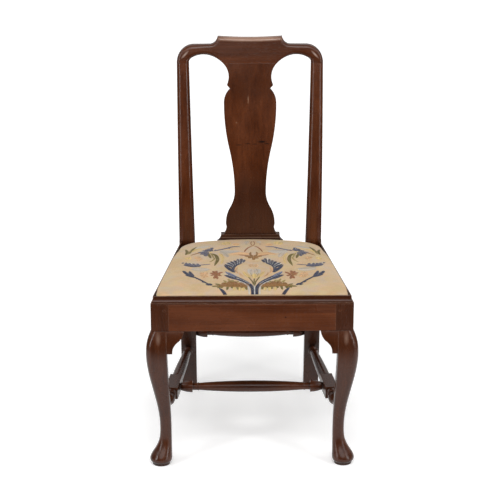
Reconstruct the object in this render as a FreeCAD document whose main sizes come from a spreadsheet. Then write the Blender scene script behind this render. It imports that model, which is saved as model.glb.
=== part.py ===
import FreeCAD, Part
import math
import os
import re
import Sketcher

# A side chair with cabriole front legs, a vase-shaped splat, turned stretchers and a drop-in seat.
# The origin lies on the floor under the middle of the chair: +X to the sitter's left, which is the
# viewer's right, +Y to the back and +Z up. Sizes are millimetres.
SIZES = {
    # Plan of the seat frame: the rails' outer faces, and the front face's distance from the origin
    "seat_front_width": 500,
    "seat_back_width": 378,
    "seat_depth": 440,
    "front_reach": 253,
    # Seat rails and their mortise and tenon joints
    "rail_top": 442,
    "rail_height": 71,
    "rail_thickness": 26,
    "back_rail_thickness": 30,
    "tenon_setback": 8,
    "tenon_thickness": 10,
    "tenon_shoulder": 11,
    "tenon_web": 5,
    "joint_gap": 0.15,
    "cut_margin": 1,
    "peg_radius": 3.5,
    "peg_drop": 17,
    # Front legs: how far each face stands out from the corner post's faces, or in from them
    "leg_post": 44,
    "knee_top_reach": 2.5,
    "knee_reach": 14.3,
    "knee_inner": 38,
    "knee_drop": 54,
    "knee_edge": 2.5,
    "knee_inner_edge": 5,
    "knee_round": 0.32,
    "ankle_height": 87,
    "ankle_inset": 16.6,
    "ankle_width": 29,
    "ankle_round": 0.42,
    "foot_height": 16,
    "foot_reach": 9.6,
    "foot_width": 56,
    "foot_undercut": 4,
    "foot_disc": 7,
    "disc_setback": 1.6,
    "foot_round": 0.485,
    # Knee brackets
    "bracket_length": 43,
    "bracket_root": 10,
    "bracket_drop": 56,
    "bracket_scroll": 14,
    "scroll_height": 10,
    "bracket_belly": 3,
    "bracket_depth": 22,
    "bracket_setback": 0.8,
    # Rear posts: square at the seat, sawn to a sweep below and rounded above
    "post_width": 41,
    "post_depth": 40,
    "leg_sweep": 66,
    "rear_foot_depth": 34,
    "post_top_width": 31.5,
    "stile_front_round": 12,
    "stile_back_round": 5,
    # Back: one long bend shared by the crest and the splat
    "back_height": 485,
    "back_radius": 1670,
    "splat_setback": 8,
    "crest_height": 65,
    "crest_width": 382,
    "crest_thickness": 26,
    "crest_tenon": 16,
    "crest_tenon_side": 7,
    "crest_stile_round": 11,
    "crest_front_round": 9,
    "crest_back_round": 7,
    "crest_splat_round": 0.8,
    "shoulder_radius": 44.5,
    "ear_half": 84,
    "ear_dip": 3,
    "cove_reach": 23,
    "cove_drop": 19.5,
    "cove_radius": 22,
    "arch_place": 121.5,
    "arch_rise": 20,
    "arch_round": 13,
    # Splat: half widths, with drops below the crest joint and rises above the shoe
    "splat_thickness": 11,
    "splat_tongue": 10,
    "tongue_thickness": 6,
    "splat_top_half": 70,
    "neck_half": 55.7,
    "neck_drop": 34,
    "barb_half": 60,
    "barb_drop": 55,
    "notch_half": 51.6,
    "notch_drop": 64,
    "bulge_half": 68.6,
    "bulge_drop": 101,
    "waist_half": 41.3,
    "waist_rise": 115,
    "hip_half": 64.8,
    "hip_rise": 29,
    "nick_half": 63,
    "nick_rise": 21,
    "splat_base_half": 69.5,
    # Shoe
    "shoe_height": 36,
    "shoe_depth": 26,
    "shoe_half": 88,
    "shoe_end_cove": 10,
    "shoe_face_cove": 4,
    "shoe_base": 14,
    "shoe_lip": 6,
    "slot_depth": 14,
    # Mouldings on the seat rails
    "moulding_height": 20,
    "moulding_width": 8,
    "moulding_cove": 5,
    "moulding_fillet": 3.5,
    "moulding_quirk": 1.5,
    # Turned stretchers
    "side_stretcher_height": 140,
    "back_stretcher_height": 184,
    "stretcher_tenon_radius": 8,
    "stretcher_tenon": 17,
    "stretcher_block": 32,
    "block_length": 84,
    "cross_setback": 176,
    "swell_radius": 15,
    "shaft_radius": 9.5,
    "bead_radius": 13,
    "bead_width": 8,
    "bulb_radius": 15,
    "bulb_length": 38,
    "ring_radius": 10.8,
    "ring_width": 4,
    "barrel_radius": 15.5,
    "barrel_length": 31,
    "neck_length": 13,
    # Corner blocks
    "corner_block_length": 46,
    "corner_block_height": 45,
    # Drop-in seat: wooden frame, webbing, canvas, stuffing and cover
    "soft_gap": 0.3,
    "cover_thickness": 1.5,
    "cover_turn_under": 24,
    "seat_play": 1,
    "seat_rebate": 9,
    "slip_thickness": 14,
    "slip_width": 52,
    "slip_tenon": 22,
    "slip_tenon_thickness": 6,
    "webbing_width": 50,
    "webbing_thickness": 1.2,
    "webbing_landing": 20,
    "canvas_thickness": 0.8,
    "seat_corner": 12,
    "seat_back_corner": 56,
    "seat_crown": 15.5,
    "seat_dome_radius": 4500,
    "seat_roll": 8,
}

doc = FreeCAD.newDocument("side_chair")
sheet = doc.addObject("Spreadsheet::Sheet", "sizes")
for row, (alias, number) in enumerate(SIZES.items(), 1):
    sheet.set(f"A{row}", alias)
    sheet.set(f"B{row}", str(number))
    sheet.setAlias(f"B{row}", alias)
doc.recompute()

ALIAS = re.compile(r"\b(" + "|".join(sorted(SIZES, key=len, reverse=True)) + r")\b")
NODES = []


def bound(text):
    """Turn an expression in plain size names into one that other objects can be bound to."""
    return ALIAS.sub(r"sizes.\1", str(text))


def value(text):
    """Work out an expression with the present sizes."""
    result = sheet.evalExpression(str(text))
    return float(getattr(result, "Value", result))


class Outline:
    """A closed outline of lines and arcs whose corners are expressions in the named sizes."""

    def __init__(self, x, y, mirror=1):
        self.mirror = mirror
        self.corners = [self.corner(x, y)]
        self.bends = []

    def corner(self, x, y):
        return (f"{self.mirror} * ({x})", str(y))

    def line(self, x, y):
        self.corners.append(self.corner(x, y))
        self.bends.append(None)
        return self

    def arc(self, x, y, radius, turn):
        """Add an arc; turn is 1 where it bends to the left of its travel and -1 to the right."""
        self.corners.append(self.corner(x, y))
        self.bends.append((str(radius), turn * self.mirror))
        return self

    def close(self):
        self.bends.append(None)
        return self

    def close_arc(self, radius, turn):
        self.bends.append((str(radius), turn * self.mirror))
        return self

    def doubled(self):
        """Mirror a half outline, drawn from axis to axis, in the vertical axis and close it."""
        back = [(f"-1 * ({x})", y) for x, y in reversed(self.corners[1:-1])]
        self.corners = self.corners + back
        self.bends = self.bends + self.bends[::-1]
        return self

    def draw(self, sketch):
        """Draw the outline in a sketch, with every corner and radius bound to the sheet."""
        points = [FreeCAD.Vector(value(x), value(y), 0) for x, y in self.corners]
        count = len(points)
        ends = []
        for number, bend in enumerate(self.bends):
            first = points[number]
            last = points[(number + 1) % count]
            if bend is None:
                sketch.addGeometry(Part.LineSegment(first, last))
                ends.append((1, 2))
                continue
            sketch.addGeometry(arc_between(first, last, value(bend[0]), bend[1]))
            ends.append((1, 2) if bend[1] > 0 else (2, 1))
        for number in range(count):
            following = (number + 1) % count
            joint = Sketcher.Constraint("Coincident", number, ends[number][1], following, ends[following][0])
            sketch.addConstraint(joint)
        for number, (x, y) in enumerate(self.corners):
            for kind, text in (("DistanceX", x), ("DistanceY", y)):
                size = Sketcher.Constraint(kind, -1, 1, number, ends[number][0], value(text))
                bind(sketch, f"Constraints[{sketch.addConstraint(size)}]", text)
        for number, bend in enumerate(self.bends):
            if bend is not None:
                size = Sketcher.Constraint("Radius", number, value(bend[0]))
                bind(sketch, f"Constraints[{sketch.addConstraint(size)}]", bend[0])


def arc_between(first, last, radius, turn):
    """The shorter arc between two points, drawn anticlockwise as a sketch keeps it."""
    chord = last - first
    half = chord.Length / 2
    left = FreeCAD.Vector(-chord.y, chord.x, 0).normalize()
    centre = (first + last) * 0.5 + left * (turn * math.sqrt(max(radius ** 2 - half ** 2, 0)))
    start, end = (first, last) if turn > 0 else (last, first)
    start_angle = math.atan2(start.y - centre.y, start.x - centre.x)
    end_angle = math.atan2(end.y - centre.y, end.x - centre.x)
    if end_angle < start_angle:
        end_angle += 2 * math.pi
    circle = Part.Circle(centre, FreeCAD.Vector(0, 0, 1), radius)
    return Part.ArcOfCircle(circle, start_angle, end_angle)


def bind(target, name, text):
    target.setExpression(name, bound(text))


def add_body(name):
    return doc.addObject("PartDesign::Body", name)


def add_sketch(body, role, outline, offset="0"):
    """Draw an outline on one of a body's own planes, moved along that plane's normal."""
    sketch = body.newObject("Sketcher::SketchObject", body.Name + "_sketch")
    plane = [feature for feature in body.Origin.OriginFeatures if feature.Role == role][0]
    sketch.AttachmentSupport = [(plane, "")]
    sketch.MapMode = "FlatFace"
    bind(sketch, "AttachmentOffset.Base.z", offset)
    outline.draw(sketch)
    return sketch


def prism(name, role, outline, start, length, backwards=False):
    """Extrude an outline along the axis square to its plane, from a place on that axis."""
    body = add_body(name)
    across_y = role == "XZ_Plane"
    sketch = add_sketch(body, role, outline, f"-1 * ({start})" if across_y else start)
    pad = body.newObject("PartDesign::Pad", name + "_pad")
    pad.Profile = sketch
    bind(pad, "Length", length)
    pad.Reversed = across_y != backwards
    return body


def turned(name, outline):
    """Turn a half profile, drawn along X with its radius upwards, about the X axis."""
    body = add_body(name)
    sketch = add_sketch(body, "XZ_Plane", outline)
    lathe = body.newObject("PartDesign::Revolution", name + "_turning")
    lathe.Profile = sketch
    lathe.ReferenceAxis = (sketch, ["H_Axis"])
    lathe.Angle = 360
    return body


def lofted(name, sections):
    """Loft a body through level outlines, given as pairs of outline and height."""
    body = add_body(name)
    sketches = [add_sketch(body, "XY_Plane", outline, height) for outline, height in sections]
    loft = body.newObject("PartDesign::AdditiveLoft", name + "_loft")
    loft.Profile = sketches[0]
    loft.Sections = sketches[1:]
    return body


def common(name, first, second):
    both = doc.addObject("Part::Common", name)
    both.Base = first
    both.Tool = second
    return both


def fused(name, *pieces):
    whole = doc.addObject("Part::MultiFuse", name)
    whole.Shapes = list(pieces)
    return whole


def cut(name, base, *tools):
    """Cut each tool from the base in turn."""
    for number, tool in enumerate(tools):
        left = doc.addObject("Part::Cut", f"{name}_cut_{number}")
        left.Base = base
        left.Tool = tool
        base = left
    return base


def node(name, piece):
    """Name a finished sub-part; the name is its file's name."""
    piece.Label = name
    NODES.append(piece)
    return piece


def place(piece, x, y, z, turn="0 deg"):
    """Set a piece down at a point, turned about the vertical."""
    bind(piece, "Placement.Base.x", x)
    bind(piece, "Placement.Base.y", y)
    bind(piece, "Placement.Base.z", z)
    bind(piece, "Placement.Rotation.Angle", turn)


# Shared places and formulas
SIDES = {"left": -1, "right": 1}
FACE = "(-1 * front_reach)"
POST_DISTANCE = "(seat_depth - post_depth)"
POST_FRONT = f"({FACE} + {POST_DISTANCE})"
POST_BACK = f"({FACE} + seat_depth)"
RAIL_BOTTOM = "(rail_top - rail_height)"
LEDGE = "(rail_top - seat_rebate)"
SPLAY = f"((seat_front_width - seat_back_width) / 2 / {POST_DISTANCE})"
SECANT = f"sqrt(1 + {SPLAY}^2)"
BEND_START = "(rail_top + moulding_height)"
CREST_JOINT = "(rail_top + back_height)"
CREST_TOP = f"({CREST_JOINT} + crest_height)"
SHOE_TOP = "(rail_top + shoe_height)"
REACH = "(2 * seat_depth)"
TENON_BOTTOM = f"({RAIL_BOTTOM} + tenon_shoulder)"
TENON_HEIGHT = "(rail_height - 2 * tenon_shoulder)"
TENON_INNER = "(tenon_setback + tenon_thickness)"
LEG_TENON = f"(leg_post - {TENON_INNER} - tenon_web)"
POST_TENON = f"(post_width - {TENON_INNER} * {SECANT} - tenon_web)"
POST_INNER = "(seat_back_width / 2 - post_width)"


def side_x(distance, inset="0"):
    """X of a line parallel to the right side rail's face, at a distance behind the front face."""
    return f"(seat_front_width / 2 - ({distance}) * {SPLAY} - ({inset}) * {SECANT})"


def tangent_radius(offset, run):
    """Radius of an arc that leaves a straight line and reaches an offset over a run."""
    return f"((({run})^2 + ({offset})^2) / (2 * ({offset})))"


def back_y(height, inset="0"):
    """Y of the back's bend at a height, at a depth behind its front surface."""
    middle = f"{POST_FRONT} + splat_setback + back_radius"
    return f"({middle} - sqrt((back_radius - ({inset}))^2 - (({height}) - {BEND_START})^2))"


def bent_slab(name, near, far, low, high):
    """A slab that follows the back's bend, between two depths and two heights, across the chair."""
    outline = Outline(back_y(low, near), low)
    outline.arc(back_y(high, near), high, f"back_radius - ({near})", -1)
    outline.line(back_y(high, far), high)
    outline.arc(back_y(low, far), low, f"back_radius - ({far})", 1).close()
    return prism(name, "YZ_Plane", outline, "-1 * seat_front_width", "2 * seat_front_width")


def side_strip(side, start, end, near, far):
    """Plan of a strip along a side rail, between two distances and two insets from the face."""
    outline = Outline(side_x(start, near), f"{FACE} + {start}", side)
    outline.line(side_x(end, near), f"{FACE} + {end}")
    outline.line(side_x(end, far), f"{FACE} + {end}")
    return outline.line(side_x(start, far), f"{FACE} + {start}").close()


def box_plan(x_start, x_end, start, end, mirror=1):
    """Plan of a square-cornered piece, between two distances behind the front face."""
    outline = Outline(x_start, f"{FACE} + {start}", mirror)
    outline.line(x_end, f"{FACE} + {start}").line(x_end, f"{FACE} + {end}")
    return outline.line(x_start, f"{FACE} + {end}").close()


def upright(name, plan, low, height):
    return prism(name, "XY_Plane", plan, low, height)


def rod_profile(start, end, radius):
    return Outline(start, "0").line(end, "0").line(end, radius).line(start, radius).close()


# The rebate inside the mouldings that the loose seat drops into
def seat_well():
    front_x = side_x("moulding_width", "moulding_width")
    back_x = side_x(POST_DISTANCE, "moulding_width")
    plan = Outline("0", f"{FACE} + moulding_width").line(front_x, f"{FACE} + moulding_width")
    plan.line(back_x, POST_FRONT).line("0", POST_FRONT).doubled()
    return upright("seat_well", plan, LEDGE, "seat_rebate + cut_margin")


# Tenons of the seat rails, and the mortises that take them
def rail_tenon(name, plan, grow):
    return upright(name, plan, f"{TENON_BOTTOM} - {grow}", f"{TENON_HEIGHT} + 2 * {grow}")


def front_tenon(side, grow="0"):
    inner = "seat_front_width / 2 - leg_post"
    near = f"tenon_setback - {grow}"
    far = f"{TENON_INNER} + {grow}"
    plan = box_plan(f"{inner} - tenon_web", f"{inner} + {LEG_TENON} + {grow}", near, far, side)
    return rail_tenon("front_tenon", plan, grow)


def side_tenon(side, at_front, grow="0"):
    if at_front:
        start = f"leg_post - {LEG_TENON} - {grow}"
        end = "leg_post + tenon_web"
    else:
        start = f"{POST_DISTANCE} - tenon_web"
        end = f"{POST_DISTANCE} + {POST_TENON} + {grow}"
    plan = side_strip(side, start, end, f"tenon_setback - {grow}", f"{TENON_INNER} + {grow}")
    return rail_tenon("side_tenon", plan, grow)


def back_tenon(side, grow="0"):
    start = f"{POST_DISTANCE} + tenon_setback - {grow}"
    end = f"{POST_DISTANCE} + {TENON_INNER} + {grow}"
    plan = box_plan(f"{POST_INNER} - tenon_web", f"{POST_INNER} + {POST_TENON} + {grow}", start, end, side)
    return rail_tenon("back_tenon", plan, grow)


# Pegs that lock the front rail's tenons in the legs
PEG_PLACE = f"(seat_front_width / 2 - leg_post + {LEG_TENON} / 2)"


def front_peg(side, grow="0"):
    peg = turned("front_peg", rod_profile("0", f"{TENON_INNER} + tenon_web", f"peg_radius + {grow}"))
    place(peg, f"{side} * {PEG_PLACE}", FACE, "rail_top - peg_drop", "90 deg")
    return peg


# Front legs
ANKLE_INNER = "(ankle_inset + ankle_width)"
FOOT_INNER = "(foot_width - foot_reach)"
KNEE_HEIGHT = f"({RAIL_BOTTOM} - knee_drop)"
SWELL_SHARES = (0, 0.35, 0.7)
FALL_SHARES = (0, 0.25, 0.5, 0.75)
FLARE_SHARES = ((0, 0), (0.38, 0.13), (0.66, 0.48), (0.84, 0.82), (1, 1))


def blend(first, last, share):
    return f"(({first}) + (({last}) - ({first})) * {share:.4f})"


def leg_section(side, outer, inner, rounds, splay):
    """Level section of a cabriole leg: a square with roundings at its outer, side and inner corners."""
    slope = f"({SPLAY} * {splay})"
    secant = f"sqrt(1 + {slope}^2)"
    outer_round, side_round, inner_round = rounds
    front = f"({FACE} - ({outer}))"
    back = f"({FACE} + ({inner}))"
    right = f"(seat_front_width / 2 + ({outer}) * ({slope} + {secant}))"
    right_back = f"({right} - {slope} * ({back} - {front}))"
    left = f"(seat_front_width / 2 - ({inner}))"
    long_turn = f"(({outer_round}) * ({secant} + {slope}))"
    short_turn = f"(({side_round}) * ({secant} - {slope}))"
    section = Outline(f"{left} + {side_round}", front, side)
    section.line(f"{right} - {long_turn}", front)
    long_end = f"{right} - {long_turn} * {slope} / {secant}"
    section.arc(long_end, f"{front} + {long_turn} / {secant}", outer_round, 1)
    section.line(f"{right_back} + {short_turn} * {slope} / {secant}", f"{back} - {short_turn} / {secant}")
    section.arc(f"{right_back} - {short_turn}", back, side_round, 1)
    section.line(f"{left} + {inner_round}", back)
    section.arc(left, f"{back} - {inner_round}", inner_round, 1)
    section.line(left, f"{front} + {side_round}")
    return section.close_arc(side_round, 1)


def leg_sections(side):
    """Sections of a leg from the top of its knee down to the floor."""
    sections = []
    knee_width = "(knee_reach + knee_inner)"
    knee_rounds = (f"(knee_round * {knee_width})", "knee_edge", "knee_inner_edge")
    ankle_rounds = ("(ankle_round * ankle_width)",) * 3
    foot_rounds = ("(foot_round * foot_width)",) * 3

    def add(height, outer, inner, rounds, splay):
        sections.append((leg_section(side, outer, inner, rounds, splay), height))

    for share in SWELL_SHARES:
        outer = blend("knee_top_reach", "knee_reach", 1 - (1 - share) ** 2)
        add(blend(RAIL_BOTTOM, KNEE_HEIGHT, share), outer, "knee_inner", knee_rounds, 1)
    for share in FALL_SHARES:
        fall = (1 - math.cos(math.pi * share)) / 2
        rounds = [blend(knee, ankle, fall) for knee, ankle in zip(knee_rounds, ankle_rounds)]
        outer = blend("knee_reach", "-1 * ankle_inset", fall)
        inner = blend("knee_inner", ANKLE_INNER, fall)
        add(blend(KNEE_HEIGHT, "ankle_height", share), outer, inner, rounds, 1 - share)
    for share, flare in FLARE_SHARES:
        rounds = [blend(ankle, foot, flare) for ankle, foot in zip(ankle_rounds, foot_rounds)]
        outer = blend("-1 * ankle_inset", "foot_reach", flare)
        inner = blend(ANKLE_INNER, FOOT_INNER, flare)
        add(blend("ankle_height", "foot_height", share), outer, inner, rounds, 0)
    sections.append((foot_plan(side, "foot_undercut"), "foot_disc"))
    return sections


def foot_plan(side, inset):
    """Plan of a foot at an inset from its widest section."""
    rounds = (f"(foot_round * (foot_width - 2 * ({inset})))",) * 3
    return leg_section(side, f"foot_reach - ({inset})", f"{FOOT_INNER} - ({inset})", rounds, 0)


def front_leg(name, side):
    leg = lofted("front_leg", leg_sections(side))
    corner = "seat_front_width / 2"
    plan = Outline(f"{corner} - leg_post", FACE, side).line(corner, FACE)
    plan.line(side_x("leg_post"), f"{FACE} + leg_post")
    plan.line(f"{corner} - leg_post", f"{FACE} + leg_post").close()
    post = upright("leg_post", plan, RAIL_BOTTOM, "rail_height")
    disc = upright("foot_disc", foot_plan(side, "foot_undercut + disc_setback"), "0", "foot_disc")
    whole = fused("leg_and_post", leg, post, disc)
    tools = [front_tenon(side, "joint_gap"), side_tenon(side, True, "joint_gap")]
    tools += [front_peg(side, "joint_gap"), side_stretcher_bore(side, True), seat_well()]
    return node(name, cut("front_leg", whole, *tools))


# Rear posts
STILE_SHARES = (0, 0.25, 0.5, 0.75, 1)
CREST_TENON_INSET = "((crest_thickness - tenon_thickness) / 2)"


def rear_leg_sweep(height):
    """How far the rear leg's front face stands behind the seat's at a height under the rails."""
    radius = tangent_radius("leg_sweep", RAIL_BOTTOM)
    return f"({radius} - sqrt({radius}^2 - ({RAIL_BOTTOM} - ({height}))^2))"


def arc_offset(whole, share):
    """Offset at a share of the stile's length, on the arc that reaches the whole offset at its top."""
    run = f"({CREST_JOINT} - {BEND_START})"
    radius = tangent_radius(whole, run)
    return f"({radius} - sqrt({radius}^2 - ({run} * {share})^2))"


def stile_section(side, share):
    """Level section of a stile: rounded more in front than behind."""
    height = blend(BEND_START, CREST_JOINT, share)
    top_front = f"({back_y(CREST_JOINT)} - {POST_FRONT})"
    top_back = f"({back_y(CREST_JOINT, 'crest_thickness')} - {POST_BACK})"
    front = f"({POST_FRONT} + {arc_offset(top_front, share)})"
    back = f"({POST_BACK} + {arc_offset(top_back, share)})"
    right = blend("seat_back_width / 2", "crest_width / 2", share)
    left = blend(POST_INNER, "crest_width / 2 - post_top_width", share)
    section = Outline(f"{left} + stile_front_round", front, side)
    section.line(f"{right} - stile_front_round", front)
    section.arc(right, f"{front} + stile_front_round", "stile_front_round", 1)
    section.line(right, f"{back} - stile_back_round")
    section.arc(f"{right} - stile_back_round", back, "stile_back_round", 1)
    section.line(f"{left} + stile_back_round", back)
    section.arc(left, f"{back} - stile_back_round", "stile_back_round", 1)
    section.line(left, f"{front} + stile_front_round")
    return section.close_arc("stile_front_round", 1), height


def crest_tenon(side, grow="0"):
    inner = f"crest_width / 2 - post_top_width + crest_tenon_side - {grow}"
    outer = f"crest_width / 2 - crest_tenon_side + {grow}"
    low = f"{CREST_JOINT} - tenon_web"
    plan = Outline(inner, low, side).line(outer, low)
    high = f"{CREST_JOINT} + crest_tenon + {grow}"
    plan.line(outer, high).line(inner, high).close()
    blank = prism("crest_tenon", "XZ_Plane", plan, FACE, REACH)
    near = f"{CREST_TENON_INSET} - {grow}"
    far = f"crest_thickness - {CREST_TENON_INSET} + {grow}"
    return common("crest_tenon_bent", blank, bent_slab("crest_tenon_slab", near, far, low, high))


def rear_post(name, side):
    toe = f"({POST_FRONT} + leg_sweep)"
    heel = f"({toe} + rear_foot_depth)"
    profile = Outline(toe, "0")
    profile.arc(POST_FRONT, RAIL_BOTTOM, tangent_radius("leg_sweep", RAIL_BOTTOM), -1)
    profile.line(POST_FRONT, BEND_START).line(POST_BACK, BEND_START).line(POST_BACK, RAIL_BOTTOM)
    heel_sweep = "leg_sweep + rear_foot_depth - post_depth"
    profile.arc(heel, "0", tangent_radius(heel_sweep, RAIL_BOTTOM), 1).close()
    start = POST_INNER if side > 0 else "-1 * seat_back_width / 2"
    leg = prism("rear_leg", "YZ_Plane", profile, start, "post_width")
    stile = lofted("stile", [stile_section(side, share) for share in STILE_SHARES])
    whole = fused("rear_post", leg, stile, crest_tenon(side))
    tools = [side_tenon(side, False, "joint_gap"), back_tenon(side, "joint_gap")]
    tools += [side_stretcher_bore(side, False), back_stretcher_bore(side)]
    return node(name, cut("rear_post", whole, *tools))


# Crest rail, splat and shoe
def splat_tongue(grow="0"):
    half = f"neck_half + {grow}"
    low = f"{CREST_JOINT} - tenon_web"
    high = f"{CREST_JOINT} + splat_tongue + {grow}"
    plan = Outline("0", low).line(half, low).line(half, high).line("0", high).doubled()
    blank = prism("splat_tongue", "XZ_Plane", plan, FACE, REACH)
    near = f"(splat_thickness - tongue_thickness) / 2 - {grow}"
    far = f"(splat_thickness + tongue_thickness) / 2 + {grow}"
    return common("splat_tongue_bent", blank, bent_slab("splat_tongue_slab", near, far, low, high))


def rounded_crest(bent):
    """Round the crest's long edges: as full as the stiles at their joints, fading out at the splat."""
    doc.recompute()
    joint = value(CREST_JOINT)
    arch = value("arch_place")

    def edge_round(point, at_stile, elsewhere):
        if point.z > joint + value("joint_gap"):
            return value(elsewhere)
        return value(at_stile if abs(point.x) > arch else "crest_splat_round")

    faces = (
        ("back_radius", "crest_stile_round", "crest_front_round"),
        ("back_radius - crest_thickness", "stile_back_round", "crest_back_round"),
    )
    rows = []
    for radius, at_stile, elsewhere in faces:
        curved = [face for face in bent.Shape.Faces if face.Surface.TypeId == "Part::GeomCylinder"]
        long_face = min(curved, key=lambda face: abs(face.Surface.Radius - value(radius)))
        marks = [edge.hashCode() for edge in long_face.Edges]
        for number, edge in enumerate(bent.Shape.Edges, 1):
            ends = [edge.valueAt(edge.FirstParameter), edge.valueAt(edge.LastParameter)]
            if edge.hashCode() in marks and max(end.z for end in ends) > joint + value("joint_gap"):
                rows.append((number, *[edge_round(end, at_stile, elsewhere) for end in ends]))
    rounded = doc.addObject("Part::Fillet", "crest_rounded")
    rounded.Base = bent
    rounded.Edges = rows
    return rounded


def crest_rail():
    half = "crest_width / 2"
    inner = f"({half} - post_top_width)"
    outline = Outline("0", f"{CREST_TOP} - ear_dip")
    outline.arc("ear_half", CREST_TOP, tangent_radius("ear_dip", "ear_half"), 1)
    outline.arc("ear_half + cove_reach", f"{CREST_TOP} - cove_drop", "cove_radius", 1)
    outline.line(f"{half} - shoulder_radius", f"{CREST_JOINT} + shoulder_radius")
    outline.arc(half, CREST_JOINT, "shoulder_radius", -1)
    outline.line(inner, CREST_JOINT)
    run = f"({inner} - arch_place - arch_round)"
    outer_arch = f"(({run}^2 + arch_rise^2 - arch_round^2) / (2 * (arch_rise - arch_round)))"
    share = f"arch_round / ({outer_arch} - arch_round)"
    turn_z = f"{CREST_JOINT} + ({outer_arch} - arch_rise) * {share}"
    outline.arc(f"{inner} - arch_round + {run} * {share}", turn_z, "arch_round", 1)
    outline.arc("arch_place", f"{CREST_JOINT} + arch_rise", outer_arch, 1)
    outline.arc("splat_top_half", CREST_JOINT, tangent_radius("arch_rise", "arch_place - splat_top_half"), 1)
    outline.line("0", CREST_JOINT).doubled()
    blank = prism("crest_blank", "XZ_Plane", outline, FACE, REACH)
    low = f"{CREST_JOINT} - cut_margin"
    slab = bent_slab("crest_slab", "0", "crest_thickness", low, f"{CREST_TOP} + cut_margin")
    tools = [crest_tenon(side, "joint_gap") for side in SIDES.values()]
    rounded = rounded_crest(common("crest_bent", blank, slab))
    return node("crest_rail", cut("crest", rounded, *tools, splat_tongue("joint_gap")))


def add_ogee(outline, x_start, z_start, x_end, z_end, turn):
    """Two equal arcs in one S-shaped stretch, upright at both ends."""
    across = f"({x_end} - {x_start})"
    along = f"({z_end} - {z_start})"
    radius = f"(({along}^2 + {across}^2) / (4 * abs({across})))"
    outline.arc(f"{x_start} + {across} / 2", f"{z_start} + {along} / 2", radius, turn)
    outline.arc(x_end, z_end, radius, -turn)


def splat():
    neck = f"{CREST_JOINT} - neck_drop"
    bulge = f"({CREST_JOINT} - bulge_drop)"
    notch = f"{CREST_JOINT} - notch_drop"
    waist = f"({SHOE_TOP} + waist_rise)"
    hip = f"({SHOE_TOP} + hip_rise)"
    base = f"{SHOE_TOP} - slot_depth"
    outline = Outline("0", CREST_JOINT).line("splat_top_half", CREST_JOINT)
    outline.arc("neck_half", neck, tangent_radius("splat_top_half - neck_half", "neck_drop"), 1)
    barb_radius = tangent_radius("barb_half - neck_half", "barb_drop - neck_drop")
    outline.arc("barb_half", f"{CREST_JOINT} - barb_drop", barb_radius, 1)
    outline.line("notch_half", notch)
    bulge_radius = tangent_radius("bulge_half - notch_half", "bulge_drop - notch_drop")
    outline.arc("bulge_half", bulge, bulge_radius, -1)
    add_ogee(outline, "bulge_half", bulge, "waist_half", waist, -1)
    add_ogee(outline, "waist_half", waist, "hip_half", hip, 1)
    outline.line("nick_half", f"{SHOE_TOP} + nick_rise")
    outline.arc("splat_base_half", SHOE_TOP, tangent_radius("splat_base_half - nick_half", "nick_rise"), 1)
    outline.line("splat_base_half", base).line("0", base).doubled()
    blank = prism("splat_blank", "XZ_Plane", outline, FACE, REACH)
    high = f"{CREST_JOINT} + cut_margin"
    slab = bent_slab("splat_slab", "0", "splat_thickness", f"{base} - cut_margin", high)
    return node("splat", fused("splat_whole", common("splat_bent", blank, slab), splat_tongue()))


def shoe():
    back = f"({POST_FRONT} + shoe_depth)"
    lip = f"{SHOE_TOP} - shoe_lip"
    base = "rail_top + shoe_base"
    rise = "(shoe_height - shoe_lip - shoe_base)"
    face = f"{POST_FRONT} + shoe_face_cove"
    profile = Outline(POST_FRONT, "rail_top").line(back, "rail_top").line(back, SHOE_TOP).line(face, SHOE_TOP)
    profile.line(face, lip).arc(POST_FRONT, base, tangent_radius("shoe_face_cove", rise), -1).close()
    ends = Outline("0", SHOE_TOP).line("shoe_half - shoe_end_cove", SHOE_TOP)
    ends.line("shoe_half - shoe_end_cove", lip)
    ends.arc("shoe_half", base, tangent_radius("shoe_end_cove", rise), 1)
    ends.line("shoe_half", "rail_top").line("0", "rail_top").doubled()
    length = prism("shoe_length", "YZ_Plane", profile, "-1 * shoe_half", "2 * shoe_half")
    block = common("shoe_block", length, prism("shoe_ends", "XZ_Plane", ends, FACE, REACH))
    half = "splat_base_half + joint_gap"
    low = f"{SHOE_TOP} - slot_depth - joint_gap"
    high = f"{SHOE_TOP} + cut_margin"
    slot_plan = Outline("0", low).line(half, low).line(half, high).line("0", high).doubled()
    slot_slab = bent_slab("slot_slab", "-1 * joint_gap", "splat_thickness + joint_gap", low, high)
    slot = common("shoe_slot", prism("slot_blank", "XZ_Plane", slot_plan, FACE, REACH), slot_slab)
    return node("splat_shoe", cut("shoe", block, slot))


# Seat rails
def front_rail():
    half = "(seat_front_width / 2 - leg_post)"
    plan = box_plan(f"-1 * {half}", half, "0", "rail_thickness")
    rail = upright("front_rail", plan, RAIL_BOTTOM, "rail_height")
    whole = fused("front_rail_whole", rail, front_tenon(-1), front_tenon(1))
    pegs = [front_peg(side, "joint_gap") for side in SIDES.values()]
    return node("front_seat_rail", cut("front_rail", whole, seat_well(), *pegs))


def back_rail():
    far = f"{POST_DISTANCE} + back_rail_thickness"
    plan = box_plan(f"-1 * {POST_INNER}", POST_INNER, POST_DISTANCE, far)
    rail = upright("back_rail", plan, RAIL_BOTTOM, "rail_height")
    return node("back_seat_rail", fused("back_rail_whole", rail, back_tenon(-1), back_tenon(1)))


def side_rail(name, side):
    plan = side_strip(side, "leg_post", POST_DISTANCE, "0", "rail_thickness")
    rail = upright("side_rail", plan, RAIL_BOTTOM, "rail_height")
    rebated = cut("side_rail", rail, seat_well())
    return node(name, fused("side_rail_whole", rebated, side_tenon(side, True), side_tenon(side, False)))


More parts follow.
